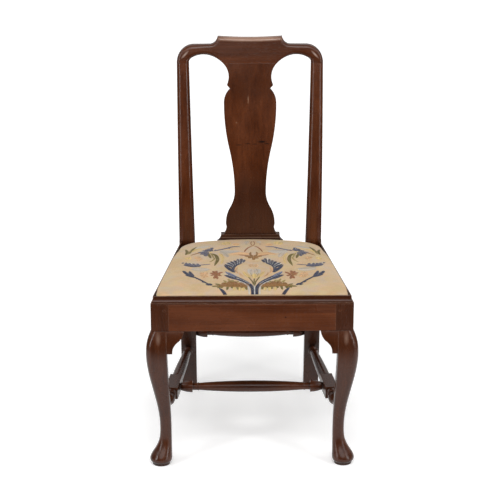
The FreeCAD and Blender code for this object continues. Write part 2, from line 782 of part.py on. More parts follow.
# Mouldings and brackets are drawn beside a rail: X along it from the corner, Y inwards from its face.
# On the two hands where that is a mirror image, Y is drawn outwards and the piece is turned round.
RAIL_FRAMES = {
    ("front", "left"): (1, "0 deg"),
    ("front", "right"): (-1, "180 deg"),
    ("side", "left"): (-1, f"90 deg - atan({SPLAY})"),
    ("side", "right"): (1, f"90 deg + atan({SPLAY})"),
}


def beside_rail(piece, rail, hand):
    """Set a piece drawn beside a rail against that rail, at the seat's front corner."""
    turn = RAIL_FRAMES[rail, hand][1]
    place(piece, f"{SIDES[hand]} * seat_front_width / 2", FACE, "0", turn)


def moulding_profile(way):
    """Section of a moulding: a fillet flush with the rail, a quirk, a cove and a top fillet."""
    top = "(rail_top + moulding_height)"
    cove_start = "rail_top + 2 * moulding_fillet"
    cove_rise = "(moulding_height - 3 * moulding_fillet)"
    cove_depth = "(moulding_cove - moulding_quirk)"
    profile = Outline("0", "rail_top", way).line("0", "rail_top + moulding_fillet")
    profile.line("moulding_quirk", "rail_top + moulding_fillet").line("moulding_quirk", cove_start)
    profile.arc("moulding_cove", f"{top} - moulding_fillet", tangent_radius(cove_depth, cove_rise), 1)
    profile.line("moulding_cove", top).line("moulding_width", top)
    return profile.line("moulding_width", "rail_top").close()


MITRE = f"(moulding_width * ({SECANT} + {SPLAY}))"


def moulding(name, rail, hand):
    """A moulding on a rail, mitred at the front corners and square to the rear post."""
    way = RAIL_FRAMES[rail, hand][0]
    if rail == "front":
        far_outer = "seat_front_width"
        far_inner = f"seat_front_width - {MITRE}"
    else:
        far_outer = f"{POST_DISTANCE} * {SECANT}"
        far_inner = f"{far_outer} + moulding_width * {SPLAY}"
    plan = Outline("0", "0").line(far_outer, "0").line(far_inner, f"{way} * moulding_width")
    plan.line(MITRE, f"{way} * moulding_width").close()
    blank = upright("moulding_plan", plan, "rail_top", "moulding_height")
    run = prism("moulding_run", "YZ_Plane", moulding_profile(way), "-1 * leg_post", "2 * seat_front_width")
    strip = common("moulding_strip", blank, run)
    beside_rail(strip, rail, hand)
    return node(name, strip)


def bracket(name, rail, hand, leg):
    """A knee bracket: an ogee outline whose face follows the curve of the knee, a little behind it."""
    way = RAIL_FRAMES[rail, hand][0]
    root = "(knee_inner - bracket_root)"
    tip = "(knee_inner + bracket_length)"
    scroll = "(knee_inner + bracket_scroll)"
    low = f"({RAIL_BOTTOM} - bracket_drop)"
    scroll_top = f"({low} + scroll_height)"
    outline = Outline(root, RAIL_BOTTOM).line(tip, RAIL_BOTTOM)
    belly = f"({tip} + {scroll}) / 2 + bracket_belly"
    middle = f"({RAIL_BOTTOM} + {scroll_top}) / 2"
    outline.arc(belly, middle, "bracket_length", -1).arc(scroll, scroll_top, "bracket_length", 1)
    outline.line(scroll, low).line(root, low).close()
    blank = prism("bracket_blank", "XZ_Plane", outline, "-1 * leg_post", "2 * leg_post")
    face_top = "bracket_setback - knee_top_reach"
    face_low = "bracket_setback - knee_reach"
    face = Outline(face_top, RAIL_BOTTOM, way).line("bracket_depth", RAIL_BOTTOM)
    face.line("bracket_depth", low).line(face_low, low).line(face_low, KNEE_HEIGHT)
    face.close_arc(tangent_radius("knee_reach - knee_top_reach", "knee_drop"), -1)
    swell = prism("bracket_swell", "YZ_Plane", face, "0", "2 * seat_front_width")
    shape = common("bracket_shape", blank, swell)
    beside_rail(shape, rail, hand)
    return node(name, cut("bracket", shape, leg))


# Turned stretchers
STRETCHER_FRONT = ("(seat_front_width / 2 - ankle_inset - ankle_width / 2)", f"({FACE} + {ANKLE_INNER})")
STRETCHER_BACK_X = "(seat_back_width / 2 - post_width / 2)"
STRETCHER_BACK = (STRETCHER_BACK_X, f"({POST_FRONT} + {rear_leg_sweep('side_stretcher_height')})")
STRETCHER_IN = f"({STRETCHER_FRONT[0]} - {STRETCHER_BACK[0]})"
STRETCHER_RUN = f"({STRETCHER_BACK[1]} - {STRETCHER_FRONT[1]})"
STRETCHER_LENGTH = f"sqrt({STRETCHER_IN}^2 + {STRETCHER_RUN}^2)"
STRETCHER_SECANT = f"({STRETCHER_LENGTH} / {STRETCHER_RUN})"
CROSS_Y = f"({FACE} + cross_setback)"
CROSS_ALONG = f"(({CROSS_Y} - {STRETCHER_FRONT[1]}) * {STRETCHER_SECANT})"
CROSS_END = (
    f"({STRETCHER_FRONT[0]} - ({CROSS_Y} - {STRETCHER_FRONT[1]}) * {STRETCHER_IN} / {STRETCHER_RUN}"
    f" - stretcher_block / 2 * {STRETCHER_SECANT})"
)
BACK_STRETCHER_Y = f"({POST_FRONT} + {rear_leg_sweep('back_stretcher_height')} + post_depth / 2)"


def place_side_stretcher(piece, side):
    turn = f"90 deg + {side} * atan({STRETCHER_IN} / {STRETCHER_RUN})"
    place(piece, f"{side} * {STRETCHER_FRONT[0]}", STRETCHER_FRONT[1], "side_stretcher_height", turn)


def side_stretcher_bore(side, at_front):
    depth = "(stretcher_tenon + joint_gap)"
    if at_front:
        start = f"-1 * {depth}"
        end = "stretcher_tenon"
    else:
        start = f"{STRETCHER_LENGTH} - stretcher_tenon"
        end = f"{STRETCHER_LENGTH} + {depth}"
    bore = turned("side_bore", rod_profile(start, end, "stretcher_tenon_radius + joint_gap"))
    place_side_stretcher(bore, side)
    return bore


def back_stretcher_bore(side):
    ends = (POST_INNER, f"{POST_INNER} + stretcher_tenon + joint_gap")
    start, end = ends if side > 0 else (f"-1 * ({ends[1]})", f"-1 * ({ends[0]})")
    bore = turned("back_bore", rod_profile(start, end, "stretcher_tenon_radius + joint_gap"))
    place(bore, "0", BACK_STRETCHER_Y, "back_stretcher_height")
    return bore


def add_bead(outline, start, width, radius, foot):
    """A round bead or bulb on a turned profile, from the foot already reached to the other."""
    rise = f"({radius} - {foot})"
    outline.arc(f"{start} - {width}", foot, tangent_radius(rise, f"{width} / 2"), 1)


def swelled_profile(half):
    """Half profile of a stretcher with an end barrel, a ringed neck and a swelled middle, from +X to -X."""
    tenon_end = f"({half} + stretcher_tenon)"
    tenon = "stretcher_tenon_radius"
    neck_start = f"({half} - barrel_length)"
    ring_start = f"({neck_start} - neck_length)"
    profile = Outline("0", "0").line(tenon_end, "0").line(tenon_end, tenon).line(half, tenon)
    profile.line(half, "shaft_radius")
    barrel_arc = tangent_radius("barrel_radius - shaft_radius", "barrel_length")
    profile.arc(neck_start, "barrel_radius", barrel_arc, 1)
    profile.line(neck_start, "shaft_radius").line(ring_start, "shaft_radius")
    add_bead(profile, ring_start, "ring_width", "ring_radius", "shaft_radius")
    swell = f"({ring_start} - ring_width)"
    profile.arc("0", "swell_radius", tangent_radius("swell_radius - shaft_radius", swell), 1)
    return profile


def swelled_stretcher(name, half):
    """Both halves of a swelled stretcher, turned in one."""
    profile = swelled_profile(half)
    right = profile.corners[1:]
    left = [(f"-1 * ({x})", y) for x, y in reversed(right[:-1])]
    profile.corners = right + left
    profile.bends = profile.bends[1:] + profile.bends[:0:-1] + [None]
    return turned(name, profile)


def cross_stretcher():
    """The front cross stretcher, its shoulders set back to clear the slant of the side blocks."""
    shoulder = f"shaft_radius * {STRETCHER_IN} / {STRETCHER_RUN}"
    piece = swelled_stretcher("cross_stretcher", f"({CROSS_END} - {shoulder})")
    place(piece, "0", CROSS_Y, "side_stretcher_height")
    return node("cross_stretcher", piece)


def back_stretcher():
    piece = swelled_stretcher("back_stretcher", POST_INNER)
    place(piece, "0", BACK_STRETCHER_Y, "back_stretcher_height")
    return node("back_stretcher", piece)


def side_stretcher(name, side):
    """A turned stretcher with a square block where the cross stretcher enters."""
    neck = "stretcher_tenon_radius"
    block_front = f"({CROSS_ALONG} - block_length / 2)"
    block_back = f"({CROSS_ALONG} + block_length / 2)"
    collar = f"({STRETCHER_LENGTH} - bulb_length / 2)"
    taper = f"({collar} - bead_width)"
    profile = Outline(f"{STRETCHER_LENGTH} + stretcher_tenon", "0")
    profile.line(f"{STRETCHER_LENGTH} + stretcher_tenon", neck).line(STRETCHER_LENGTH, neck)
    profile.line(collar, "shaft_radius")
    add_bead(profile, collar, "bead_width", "bead_radius", "shaft_radius")
    swell_start = f"({block_back} + bead_width)"
    swell_run = f"{taper} - {swell_start}"
    profile.arc(swell_start, "swell_radius", tangent_radius("swell_radius - shaft_radius", swell_run), 1)
    profile.line(f"{block_back} + bead_width / 2", neck).line(block_back, "bead_radius")
    bead_start = f"({block_front} - ring_width)"
    profile.line(block_front, "bead_radius").line(bead_start, "shaft_radius")
    add_bead(profile, bead_start, "bead_width", "bead_radius", "shaft_radius")
    bulb_start = f"({bead_start} - bead_width - ring_width)"
    profile.line(f"{bead_start} - bead_width", neck).line(bulb_start, neck).line(bulb_start, "shaft_radius")
    add_bead(profile, bulb_start, "bulb_length", "bulb_radius", "shaft_radius")
    profile.line("0", neck).line("-1 * stretcher_tenon", neck).line("-1 * stretcher_tenon", "0").close()
    turning = turned("side_turning", profile)
    half = "stretcher_block / 2"
    square = Outline(block_front, f"-1 * {half}").line(block_back, f"-1 * {half}")
    square.line(block_back, half).line(block_front, half).close()
    block = upright("stretcher_block", square, f"-1 * {half}", "stretcher_block")
    whole = fused("side_stretcher_whole", turning, block)
    place_side_stretcher(whole, side)
    ends = (f"{CROSS_END} - stretcher_tenon", f"{CROSS_END} + stretcher_tenon + joint_gap")
    start, end = ends if side > 0 else (f"-1 * ({ends[1]})", f"-1 * ({ends[0]})")
    bore = turned("cross_bore", rod_profile(start, end, "stretcher_tenon_radius + joint_gap"))
    place(bore, "0", CROSS_Y, "side_stretcher_height")
    return node(name, cut("side_stretcher", whole, bore))


# Corner blocks glued inside the seat frame
def corner_block(name, at_front, side):
    if at_front:
        post = "seat_front_width / 2 - leg_post"
        near = f"{FACE} + rail_thickness"
        behind = f"{FACE} + leg_post"
        far = "leg_post + corner_block_length"
        plan = Outline(f"{post} - corner_block_length", near, side).line(post, near).line(post, behind)
        plan.line(side_x("leg_post", "rail_thickness"), behind)
        plan.line(side_x(far, "rail_thickness"), f"{FACE} + {far}").close()
    else:
        start = f"{POST_DISTANCE} - corner_block_length"
        corner = side_x(POST_DISTANCE, "rail_thickness")
        plan = Outline(side_x(start, "rail_thickness"), f"{FACE} + {start}", side).line(corner, POST_FRONT)
        plan.line(f"{corner} - corner_block_length", POST_FRONT).close()
    low = f"{LEDGE} - corner_block_height"
    return node(name, upright("corner_block", plan, low, "corner_block_height"))


# Drop-in seat
COVER_LOW = f"({LEDGE} + soft_gap)"
SLIP_LOW = f"({COVER_LOW} + cover_thickness + soft_gap)"
SLIP_TOP = f"({SLIP_LOW} + slip_thickness)"
WEB_LOW = f"({SLIP_TOP} + soft_gap)"
WEB_HIGH = f"({WEB_LOW} + webbing_thickness + soft_gap)"
CANVAS_LOW = f"({WEB_HIGH} + webbing_thickness + soft_gap)"
STUFFING_LOW = f"({CANVAS_LOW} + canvas_thickness + soft_gap)"
COVER_INSET = "(moulding_width + seat_play)"
SLIP_INSET = f"({COVER_INSET} + cover_thickness + soft_gap)"
SEAT_BACK = f"({POST_DISTANCE} - seat_play)"
SLIP_BACK = f"({SEAT_BACK} - cover_thickness - soft_gap)"
STUFFING_INSET = "(cover_thickness + soft_gap)"
SEAT_MIDDLE = f"({FACE} + ({COVER_INSET} + {SEAT_BACK}) / 2)"


def seat_plan(inset, trim="0"):
    """Plan of the seat at an inset from its cover's edge, its rounded corners trimmed by some more."""
    corner = f"(seat_corner - ({trim}))"
    back_corner = f"(seat_back_corner - ({trim}))"
    front = f"({COVER_INSET} + {inset})"
    back = f"({SEAT_BACK} - ({inset}))"
    front_x = side_x(front, f"{COVER_INSET} + {inset}")
    back_x = side_x(back, f"{COVER_INSET} + {inset}")
    long_turn = f"({corner} * ({SECANT} + {SPLAY}))"
    short_turn = f"({back_corner} * ({SECANT} - {SPLAY}))"
    plan = Outline("0", f"{FACE} + {front}").line(f"{front_x} - {long_turn}", f"{FACE} + {front}")
    long_end = f"{front_x} - {long_turn} * {SPLAY} / {SECANT}"
    plan.arc(long_end, f"{FACE} + {front} + {long_turn} / {SECANT}", corner, 1)
    plan.line(f"{back_x} + {short_turn} * {SPLAY} / {SECANT}", f"{FACE} + {back} - {short_turn} / {SECANT}")
    plan.arc(f"{back_x} - {short_turn}", f"{FACE} + {back}", back_corner, 1)
    return plan.line("0", f"{FACE} + {back}").doubled()


def crowned(name, low, inset, lift):
    """A pad on the seat's plan whose top is part of one large ball, with a rolled upper edge."""
    plan = seat_plan(inset, inset)
    block = upright(name, plan, low, "slip_thickness + 2 * seat_crown")
    ball = doc.addObject("Part::Sphere", name + "_ball")
    bind(ball, "Radius", f"seat_dome_radius + {lift}")
    place(ball, "0", SEAT_MIDDLE, f"{STUFFING_LOW} + seat_crown - seat_dome_radius")
    pad = common(name + "_crown", block, ball)
    doc.recompute()
    rim = doc.addObject("Part::Fillet", name + "_rim")
    rim.Base = pad
    roll = value(f"seat_roll - ({inset})")
    dome = [face for face in pad.Shape.Faces if face.Surface.TypeId == "Part::GeomSphere"][0]
    on_rim = [edge.hashCode() for edge in dome.Edges]
    numbered = enumerate(pad.Shape.Edges, 1)
    rim.Edges = [(number, roll, roll) for number, edge in numbered if edge.hashCode() in on_rim]
    return rim


def slip_rail(name, at_front):
    if at_front:
        start = SLIP_INSET
        end = f"({SLIP_INSET} + slip_width)"
    else:
        start = f"({SLIP_BACK} - slip_width)"
        end = SLIP_BACK
    plan = Outline("0", f"{FACE} + {start}").line(side_x(start, SLIP_INSET), f"{FACE} + {start}")
    plan.line(side_x(end, SLIP_INSET), f"{FACE} + {end}").line("0", f"{FACE} + {end}").doubled()
    rounded = upright("slip_corners", seat_plan(STUFFING_INSET, STUFFING_INSET), SLIP_LOW, "slip_thickness")
    rail = common("slip_blank", upright("slip_rail", plan, SLIP_LOW, "slip_thickness"), rounded)
    mortises = [slip_tenon(side, at_front, "joint_gap") for side in SIDES.values()]
    return node(name, cut("slip_rail", rail, *mortises))


def slip_tenon(side, at_front, grow="0"):
    if at_front:
        start = f"{SLIP_INSET} + slip_width - slip_tenon - {grow}"
        end = f"{SLIP_INSET} + slip_width + tenon_web"
    else:
        start = f"{SLIP_BACK} - slip_width - tenon_web"
        end = f"{SLIP_BACK} - slip_width + slip_tenon + {grow}"
    near = f"{SLIP_INSET} + tenon_shoulder - {grow}"
    far = f"{SLIP_INSET} + slip_width - tenon_shoulder + {grow}"
    low = f"{SLIP_LOW} + (slip_thickness - slip_tenon_thickness) / 2 - {grow}"
    plan = side_strip(side, start, end, near, far)
    return upright("slip_tenon", plan, low, f"slip_tenon_thickness + 2 * {grow}")


def slip_side(name, side):
    start = f"({SLIP_INSET} + slip_width)"
    end = f"({SLIP_BACK} - slip_width)"
    plan = side_strip(side, start, end, SLIP_INSET, f"{SLIP_INSET} + slip_width")
    rail = upright("slip_side", plan, SLIP_LOW, "slip_thickness")
    return node(name, fused("slip_side_whole", rail, slip_tenon(side, True), slip_tenon(side, False)))


WEB_PLACES = (-0.25, 0, 0.25)


def webbing(name, along):
    """Three webbing strips, nailed on the slip frame from front to back or from side to side."""
    strips = []
    edge = f"({SLIP_INSET} + webbing_landing)"
    far = f"({SLIP_BACK} - webbing_landing)"
    for place_share in WEB_PLACES:
        if along:
            middle = f"{place_share} * seat_back_width"
            plan = box_plan(f"{middle} - webbing_width / 2", f"{middle} + webbing_width / 2", edge, far)
        else:
            middle = f"(({edge} + {far}) / 2 + {place_share} * seat_depth)"
            start = f"({middle} - webbing_width / 2)"
            end = f"({middle} + webbing_width / 2)"
            plan = Outline("0", f"{FACE} + {start}").line(side_x(start, edge), f"{FACE} + {start}")
            plan.line(side_x(end, edge), f"{FACE} + {end}").line("0", f"{FACE} + {end}").doubled()
        strips.append(upright("webbing", plan, WEB_HIGH if along else WEB_LOW, "webbing_thickness"))
    group = doc.addObject("Part::Compound", "webbing_group")
    group.Links = strips
    return node(name, group)


def seat_canvas():
    plan = seat_plan(f"{STUFFING_INSET} + webbing_landing / 2")
    return node("seat_canvas", upright("canvas", plan, CANVAS_LOW, "canvas_thickness"))


def seat_stuffing():
    return node("seat_stuffing", crowned("stuffing", STUFFING_LOW, STUFFING_INSET, "0"))


def seat_cover():
    """The cover: a crowned skin over the stuffing, a skirt round the frame and a turned-under edge."""
    outside = crowned("cover_outside", COVER_LOW, "0", "soft_gap + cover_thickness")
    inside = crowned("cover_inside", f"{COVER_LOW} + cover_thickness", "cover_thickness", "soft_gap")
    open_plan = seat_plan("cover_turn_under")
    window = upright("cover_window", open_plan, LEDGE, "cover_thickness + 2 * soft_gap")
    return node("seat_cover", cut("cover", outside, inside, window))


def rail_pegs():
    group = doc.addObject("Part::Compound", "peg_group")
    group.Links = [front_peg(side) for side in SIDES.values()]
    return node("rail_pegs", group)


# The chair, piece by piece
crest_rail()
splat()
shoe()
front_rail()
back_rail()
moulding("front_moulding", "front", "left")
cross_stretcher()
back_stretcher()
for hand, side in SIDES.items():
    leg = front_leg(f"{hand}_front_leg", side)
    rear_post(f"{hand}_rear_post", side)
    side_rail(f"{hand}_seat_rail", side)
    moulding(f"{hand}_moulding", "side", hand)
    for rail in ("front", "side"):
        bracket(f"{hand}_{rail}_bracket", rail, hand, leg)
    side_stretcher(f"{hand}_stretcher", side)
    corner_block(f"{hand}_front_corner_block", True, side)
    corner_block(f"{hand}_back_corner_block", False, side)
    slip_side(f"{hand}_slip_rail", side)
slip_rail("front_slip_rail", True)
slip_rail("back_slip_rail", False)
webbing("webbing_across", False)
webbing("webbing_along", True)
seat_canvas()
seat_stuffing()
seat_cover()
rail_pegs()

# Check every object, then write each sub-part to its own file
doc.recompute()
failed = [item.Name for item in doc.Objects if {"Invalid", "Error"} & set(item.State)]
failed += [piece.Label for piece in NODES if piece.Shape.isNull() or not piece.Shape.isValid()]
if failed:
    raise RuntimeError("failed: " + ", ".join(failed))
os.makedirs("parts", exist_ok=True)
for piece in NODES:
    piece.Shape.exportStep(f"parts/{piece.Label}.step")
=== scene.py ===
"""Looks of a mahogany side chair with cabriole legs: finishes, drop-in seat, crewelwork and studio.

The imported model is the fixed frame. The wooden pieces keep their solids and get a finish here.
The soft pieces of the drop-in seat are modelled again as cloth, and the crewelwork lies on the pad as
threads of wool. Lengths are in metres, and the crewelwork's drawing is in millimetres.
"""

import logging
import math
import random
from dataclasses import dataclass, replace
from enum import Enum
from functools import partial

import bpy
from mathutils import Euler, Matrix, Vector, noise
from mathutils.bvhtree import BVHTree
from mathutils.geometry import interpolate_bezier


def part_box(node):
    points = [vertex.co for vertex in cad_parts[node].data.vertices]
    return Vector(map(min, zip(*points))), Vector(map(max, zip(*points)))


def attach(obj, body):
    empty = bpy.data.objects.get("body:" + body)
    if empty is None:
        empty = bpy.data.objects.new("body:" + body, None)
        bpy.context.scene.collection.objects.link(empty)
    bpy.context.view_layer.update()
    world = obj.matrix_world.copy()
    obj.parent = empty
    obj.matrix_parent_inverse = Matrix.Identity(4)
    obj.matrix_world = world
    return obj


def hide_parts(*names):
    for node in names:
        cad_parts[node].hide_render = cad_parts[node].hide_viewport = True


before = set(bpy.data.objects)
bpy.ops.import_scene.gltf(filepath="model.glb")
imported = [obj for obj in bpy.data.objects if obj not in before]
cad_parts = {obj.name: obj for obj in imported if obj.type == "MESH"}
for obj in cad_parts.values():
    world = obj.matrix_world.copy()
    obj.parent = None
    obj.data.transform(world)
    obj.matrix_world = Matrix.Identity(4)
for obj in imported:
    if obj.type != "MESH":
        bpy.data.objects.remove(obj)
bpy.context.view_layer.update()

LOG = logging.getLogger("side_chair")
MM = 0.001
SEAT_BODY = "slip_seat"
TINY = 1e-9
TIMBER_REACH = 3
PORE_DEPTH = 0.06 * MM
EDGE_ROUND = 0.8 * MM
RUB_AND_HIGHLIGHT_REACH = 2 * MM
DIRT_AND_SHADE_REACH = 18 * MM
MARK_NOISE = (700, 700, 700)
MARK_REACH = 1.45
Colour = tuple[float, float, float]
Place = tuple[float, float, float]
Point = tuple[float, float]


def linear(red: int, green: int, blue: int) -> Colour:
    """Turns a screen colour of 0 to 255 into the linear colour that a shader takes."""
    return tuple(((c / 255 + 0.055) / 1.055) ** 2.4 if c > 10 else c / 3294.6 for c in (red, green, blue))


def opaque(colour: Colour) -> tuple[float, float, float, float]:
    """Gives a colour its alpha of one."""
    return (*colour, 1.0)


class Nodes:
    """Short ways to add and join the nodes of one shader tree."""

    def __init__(self, tree: bpy.types.NodeTree) -> None:
        """Takes the tree and empties it."""
        self.tree = tree
        tree.nodes.clear()

    def put(self, socket: bpy.types.NodeSocket, value: object) -> None:
        """Links a socket into an input, or sets the input's own value."""
        if isinstance(value, bpy.types.NodeSocket):
            self.tree.links.new(value, socket)
        else:
            socket.default_value = value

    def add(self, kind: str, inputs: dict | None = None, **settings: object) -> bpy.types.Node:
        """Adds a node.

        Args:
            kind: Blender's node class without its ShaderNode prefix.
            inputs: Input names or numbers, each with a value or the socket to link.
            settings: The node's own properties.

        Returns:
            The new node.
        """
        node = self.tree.nodes.new("ShaderNode" + kind)
        for name, value in settings.items():
            setattr(node, name, value)
        for name, value in (inputs or {}).items():
            self.put(node.inputs[name], value)
        return node

    def math(self, operation: str, *values: object) -> bpy.types.NodeSocket:
        """Joins values with one operation of the Math node."""
        return self.add("Math", dict(enumerate(values)), operation=operation).outputs[0]

    def mix(self, share: object, first: object, second: object, blend: str = "MIX") -> bpy.types.NodeSocket:
        """Mixes two colours by a share."""
        inputs = {0: share, 6: first, 7: second}
        return self.add("Mix", inputs, data_type="RGBA", blend_type=blend).outputs[2]

    def spread(
        self, value: object, low: float, high: float, to_low: float = 0, to_high: float = 1
    ) -> bpy.types.NodeSocket:
        """Maps low..high of a value onto to_low..to_high, held at both ends."""
        inputs = {"Value": value, "From Min": low, "From Max": high, "To Min": to_low, "To Max": to_high}
        return self.add("MapRange", inputs).outputs[0]

    def noise(self, place: object, scale: object, detail: float = 2, warp: float = 0) -> bpy.types.NodeSocket:
        """Value of a noise pattern at a place that is scaled along each axis."""
        scaled = self.add("VectorMath", {0: place, 1: scale}, operation="MULTIPLY").outputs[0]
        inputs = {"Vector": scaled, "Scale": 1, "Detail": detail, "Distortion": warp}
        return self.add("TexNoise", inputs).outputs[0]

    def place(self, turn: tuple = (0, 0, 0), shift: tuple = (0, 0, 0)) -> bpy.types.NodeSocket:
        """Object coordinates, turned and shifted."""
        where = self.add("TexCoord").outputs["Object"]
        return self.add("Mapping", {"Vector": where, "Rotation": turn, "Location": shift}).outputs[0]

    def group(self, tree: bpy.types.NodeTree, **inputs: object) -> bpy.types.Node:
        """Places a node group and fills its inputs."""
        return self.add("Group", inputs, node_tree=tree)

    def surface(self, kind: str, inputs: dict) -> None:
        """Adds a shader and makes it the material's surface."""
        shader = self.add(kind, inputs)
        self.add("OutputMaterial", {"Surface": shader.outputs[0]})


def new_material(name: str) -> tuple[bpy.types.Material, Nodes]:
    """Makes an empty node material.

    Args:
        name: The material's name.

    Returns:
        The material and its nodes.
    """
    material = bpy.data.materials.new(name)
    material.use_nodes = True
    return material, Nodes(material.node_tree)


def new_group(
    name: str, takes: dict[str, str], gives: dict[str, str]
) -> tuple[Nodes, bpy.types.Node, bpy.types.Node]:
    """Makes an empty shader node group.

    Args:
        name: The group's name.
        takes: Input names, each with its kind of socket.
        gives: Output names, each with its kind of socket.

    Returns:
        The group's nodes, its input node and its output node.
    """
    nodes = Nodes(bpy.data.node_groups.new(name, "ShaderNodeTree"))
    for way, sockets in (("INPUT", takes), ("OUTPUT", gives)):
        for socket, kind in sockets.items():
            nodes.tree.interface.new_socket(socket, in_out=way, socket_type="NodeSocket" + kind)
    return nodes, nodes.tree.nodes.new("NodeGroupInput"), nodes.tree.nodes.new("NodeGroupOutput")


class Effects:
    """The shader node groups that several finishes share, each built once."""

    def __init__(self) -> None:
        """Builds the groups."""
        self.grain = self.build_grain()
        self.handling_and_painted_light = self.build_handling_and_painted_light()
        self.weave = self.build_weave()

    @staticmethod
    def build_grain() -> bpy.types.NodeTree:
        """Wood grain that runs along Z: figure, streaks, pores and blotches."""
        takes = {"Vector": "Vector", "Dark": "Color", "Light": "Color", "Polish": "Float"}
        gives = {"Color": "Color", "Roughness": "Float", "Height": "Float"}
        nodes, given, out = new_group("wood_grain", takes, gives)
        where = given.outputs["Vector"]
        figure = nodes.spread(nodes.noise(where, (42, 42, 2.4), 3, 0.6), 0.32, 0.68)
        streak = nodes.spread(nodes.noise(where, (240, 240, 5), 4, 0.4), 0.3, 0.7)
        fine = nodes.spread(nodes.noise(where, (900, 900, 24), 2), 0.3, 0.7)
        pore = nodes.spread(nodes.noise(where, (2100, 2100, 95), 1), 0.6, 0.72)
        blotch = nodes.noise(where, (16, 16, 9), 4)
        broad = nodes.math("MULTIPLY_ADD", figure, 0.45, nodes.math("MULTIPLY", streak, 0.33))
        share = nodes.math("MULTIPLY_ADD", fine, 0.22, broad)
        wood = nodes.mix(share, given.outputs["Dark"], given.outputs["Light"])
        stain = nodes.spread(blotch, 0.35, 0.62, 0.4, 0)
        stained = nodes.mix(stain, wood, opaque((0.5, 0.42, 0.4)), "MULTIPLY")
        pored = nodes.mix(nodes.math("MULTIPLY", pore, 0.5), stained, opaque((0.012, 0.006, 0.004)))
        rough = nodes.math("MULTIPLY_ADD", nodes.math("SUBTRACT", blotch, 0.5), 0.35, given.outputs["Polish"])
        rough = nodes.math("MULTIPLY_ADD", pore, 0.2, rough)
        height = nodes.math("MULTIPLY_ADD", pore, -0.7, nodes.math("MULTIPLY", fine, 0.3))
        nodes.put(out.inputs["Color"], pored)
        nodes.put(out.inputs["Roughness"], rough)
        nodes.put(out.inputs["Height"], height)
        return nodes.tree

    @staticmethod
    def build_handling_and_painted_light() -> bpy.types.NodeTree:
        """What use does to a wooden piece, with painted light: rounded edges, edges made lighter as worn wood
        and as a painted highlight, and corners darkened as old wax and grime and as painted shade.
        """
        takes = {"Color": "Color", "Vector": "Vector", "Rubbed": "Color", "Dirt": "Color", "Rub": "Float"}
        nodes, given, out = new_group("handling_and_painted_light", takes, {"Color": "Color", "Normal": "Vector"})
        soft = nodes.add("Bevel", {"Radius": EDGE_ROUND}, samples=6).outputs[0]
        # The wide rounding finds the edges, which are made lighter in the worn colour: partly worn wood,
        # partly a painted highlight.
        wide = nodes.add("Bevel", {"Radius": RUB_AND_HIGHLIGHT_REACH}, samples=6).outputs[0]
        flat = nodes.add("NewGeometry").outputs["Normal"]
        meet = nodes.add("VectorMath", {0: wide, 1: flat}, operation="DOT_PRODUCT").outputs["Value"]
        patch = nodes.spread(nodes.noise(given.outputs["Vector"], (55, 55, 30), 3), 0.35, 0.65)
        edge = nodes.math("MULTIPLY", nodes.spread(meet, 0.98, 0.8), nodes.spread(patch, 0, 1, 0.2, 1))
        edge = nodes.math("MULTIPLY", edge, given.outputs["Rub"])
        rubbed = nodes.mix(edge, given.outputs["Color"], given.outputs["Rubbed"])
        # Places that little light reaches are darkened in the colour of old wax: partly grime, partly painted
        # shade.
        open_sky = nodes.add("AmbientOcclusion", {"Distance": DIRT_AND_SHADE_REACH}, samples=6).outputs["AO"]
        hidden = nodes.math("MULTIPLY", nodes.spread(open_sky, 0.8, 0.3), 0.8)
        nodes.put(out.inputs["Color"], nodes.mix(hidden, rubbed, given.outputs["Dirt"]))
        nodes.put(out.inputs["Normal"], soft)
        return nodes.tree

    @staticmethod
    def build_weave() -> bpy.types.NodeTree:
        """A plain or twilled cloth: the height of its crossing yarns and their uneven shade."""
        takes = {"Vector": "Vector", "Pitch": "Float", "Slant": "Float"}
        nodes, given, out = new_group("cloth_weave", takes, {"Height": "Float", "Shade": "Float"})
        where = nodes.add("SeparateXYZ", {0: given.outputs["Vector"]})
        step = nodes.math("DIVIDE", math.tau, given.outputs["Pitch"])
        slanted = nodes.math("MULTIPLY_ADD", where.outputs[1], given.outputs["Slant"], where.outputs[0])
        warp = nodes.math("SINE", nodes.math("MULTIPLY", slanted, step))
        weft = nodes.math("SINE", nodes.math("MULTIPLY", where.outputs[1], step))
        height = nodes.spread(nodes.math("MULTIPLY", warp, weft), -1, 1)
        yarn = nodes.noise(given.outputs["Vector"], (60, 900, 60), 2)
        other = nodes.noise(given.outputs["Vector"], (900, 60, 60), 2)
        nodes.put(out.inputs["Height"], height)
        nodes.put(out.inputs["Shade"], nodes.spread(nodes.math("ADD", yarn, other), 0.7, 1.3))
        return nodes.tree


class Grain(Enum):
    """Which way a piece's grain runs, as the turn that brings it upright."""

    UPRIGHT = (0, 0, 0)
    ACROSS = (0, math.pi / 2, 0)
    FORE_AND_AFT = (math.pi / 2, 0, 0)


@dataclass(frozen=True)
class Mark:
    """A scratch, crack, knot or worn place, or a painted shade or painted highlight, on the face of a piece,
    seen from the front.

    Attributes:
        x: Its middle across the chair.
        z: Its middle's height.
        half_width: Half its width.
        half_height: Half its height.
        colour: Its colour.
        strength: How far it covers the wood.
        ragged: How uneven its edge is.
        core: Where it starts to fade, as a share of its half sizes.
        turn: How far it leans.
    """

    x: float
    z: float
    half_width: float
    half_height: float
    colour: Colour
    strength: float
    ragged: float = 0.9
    core: float = 0.75
    turn: float = 0.0


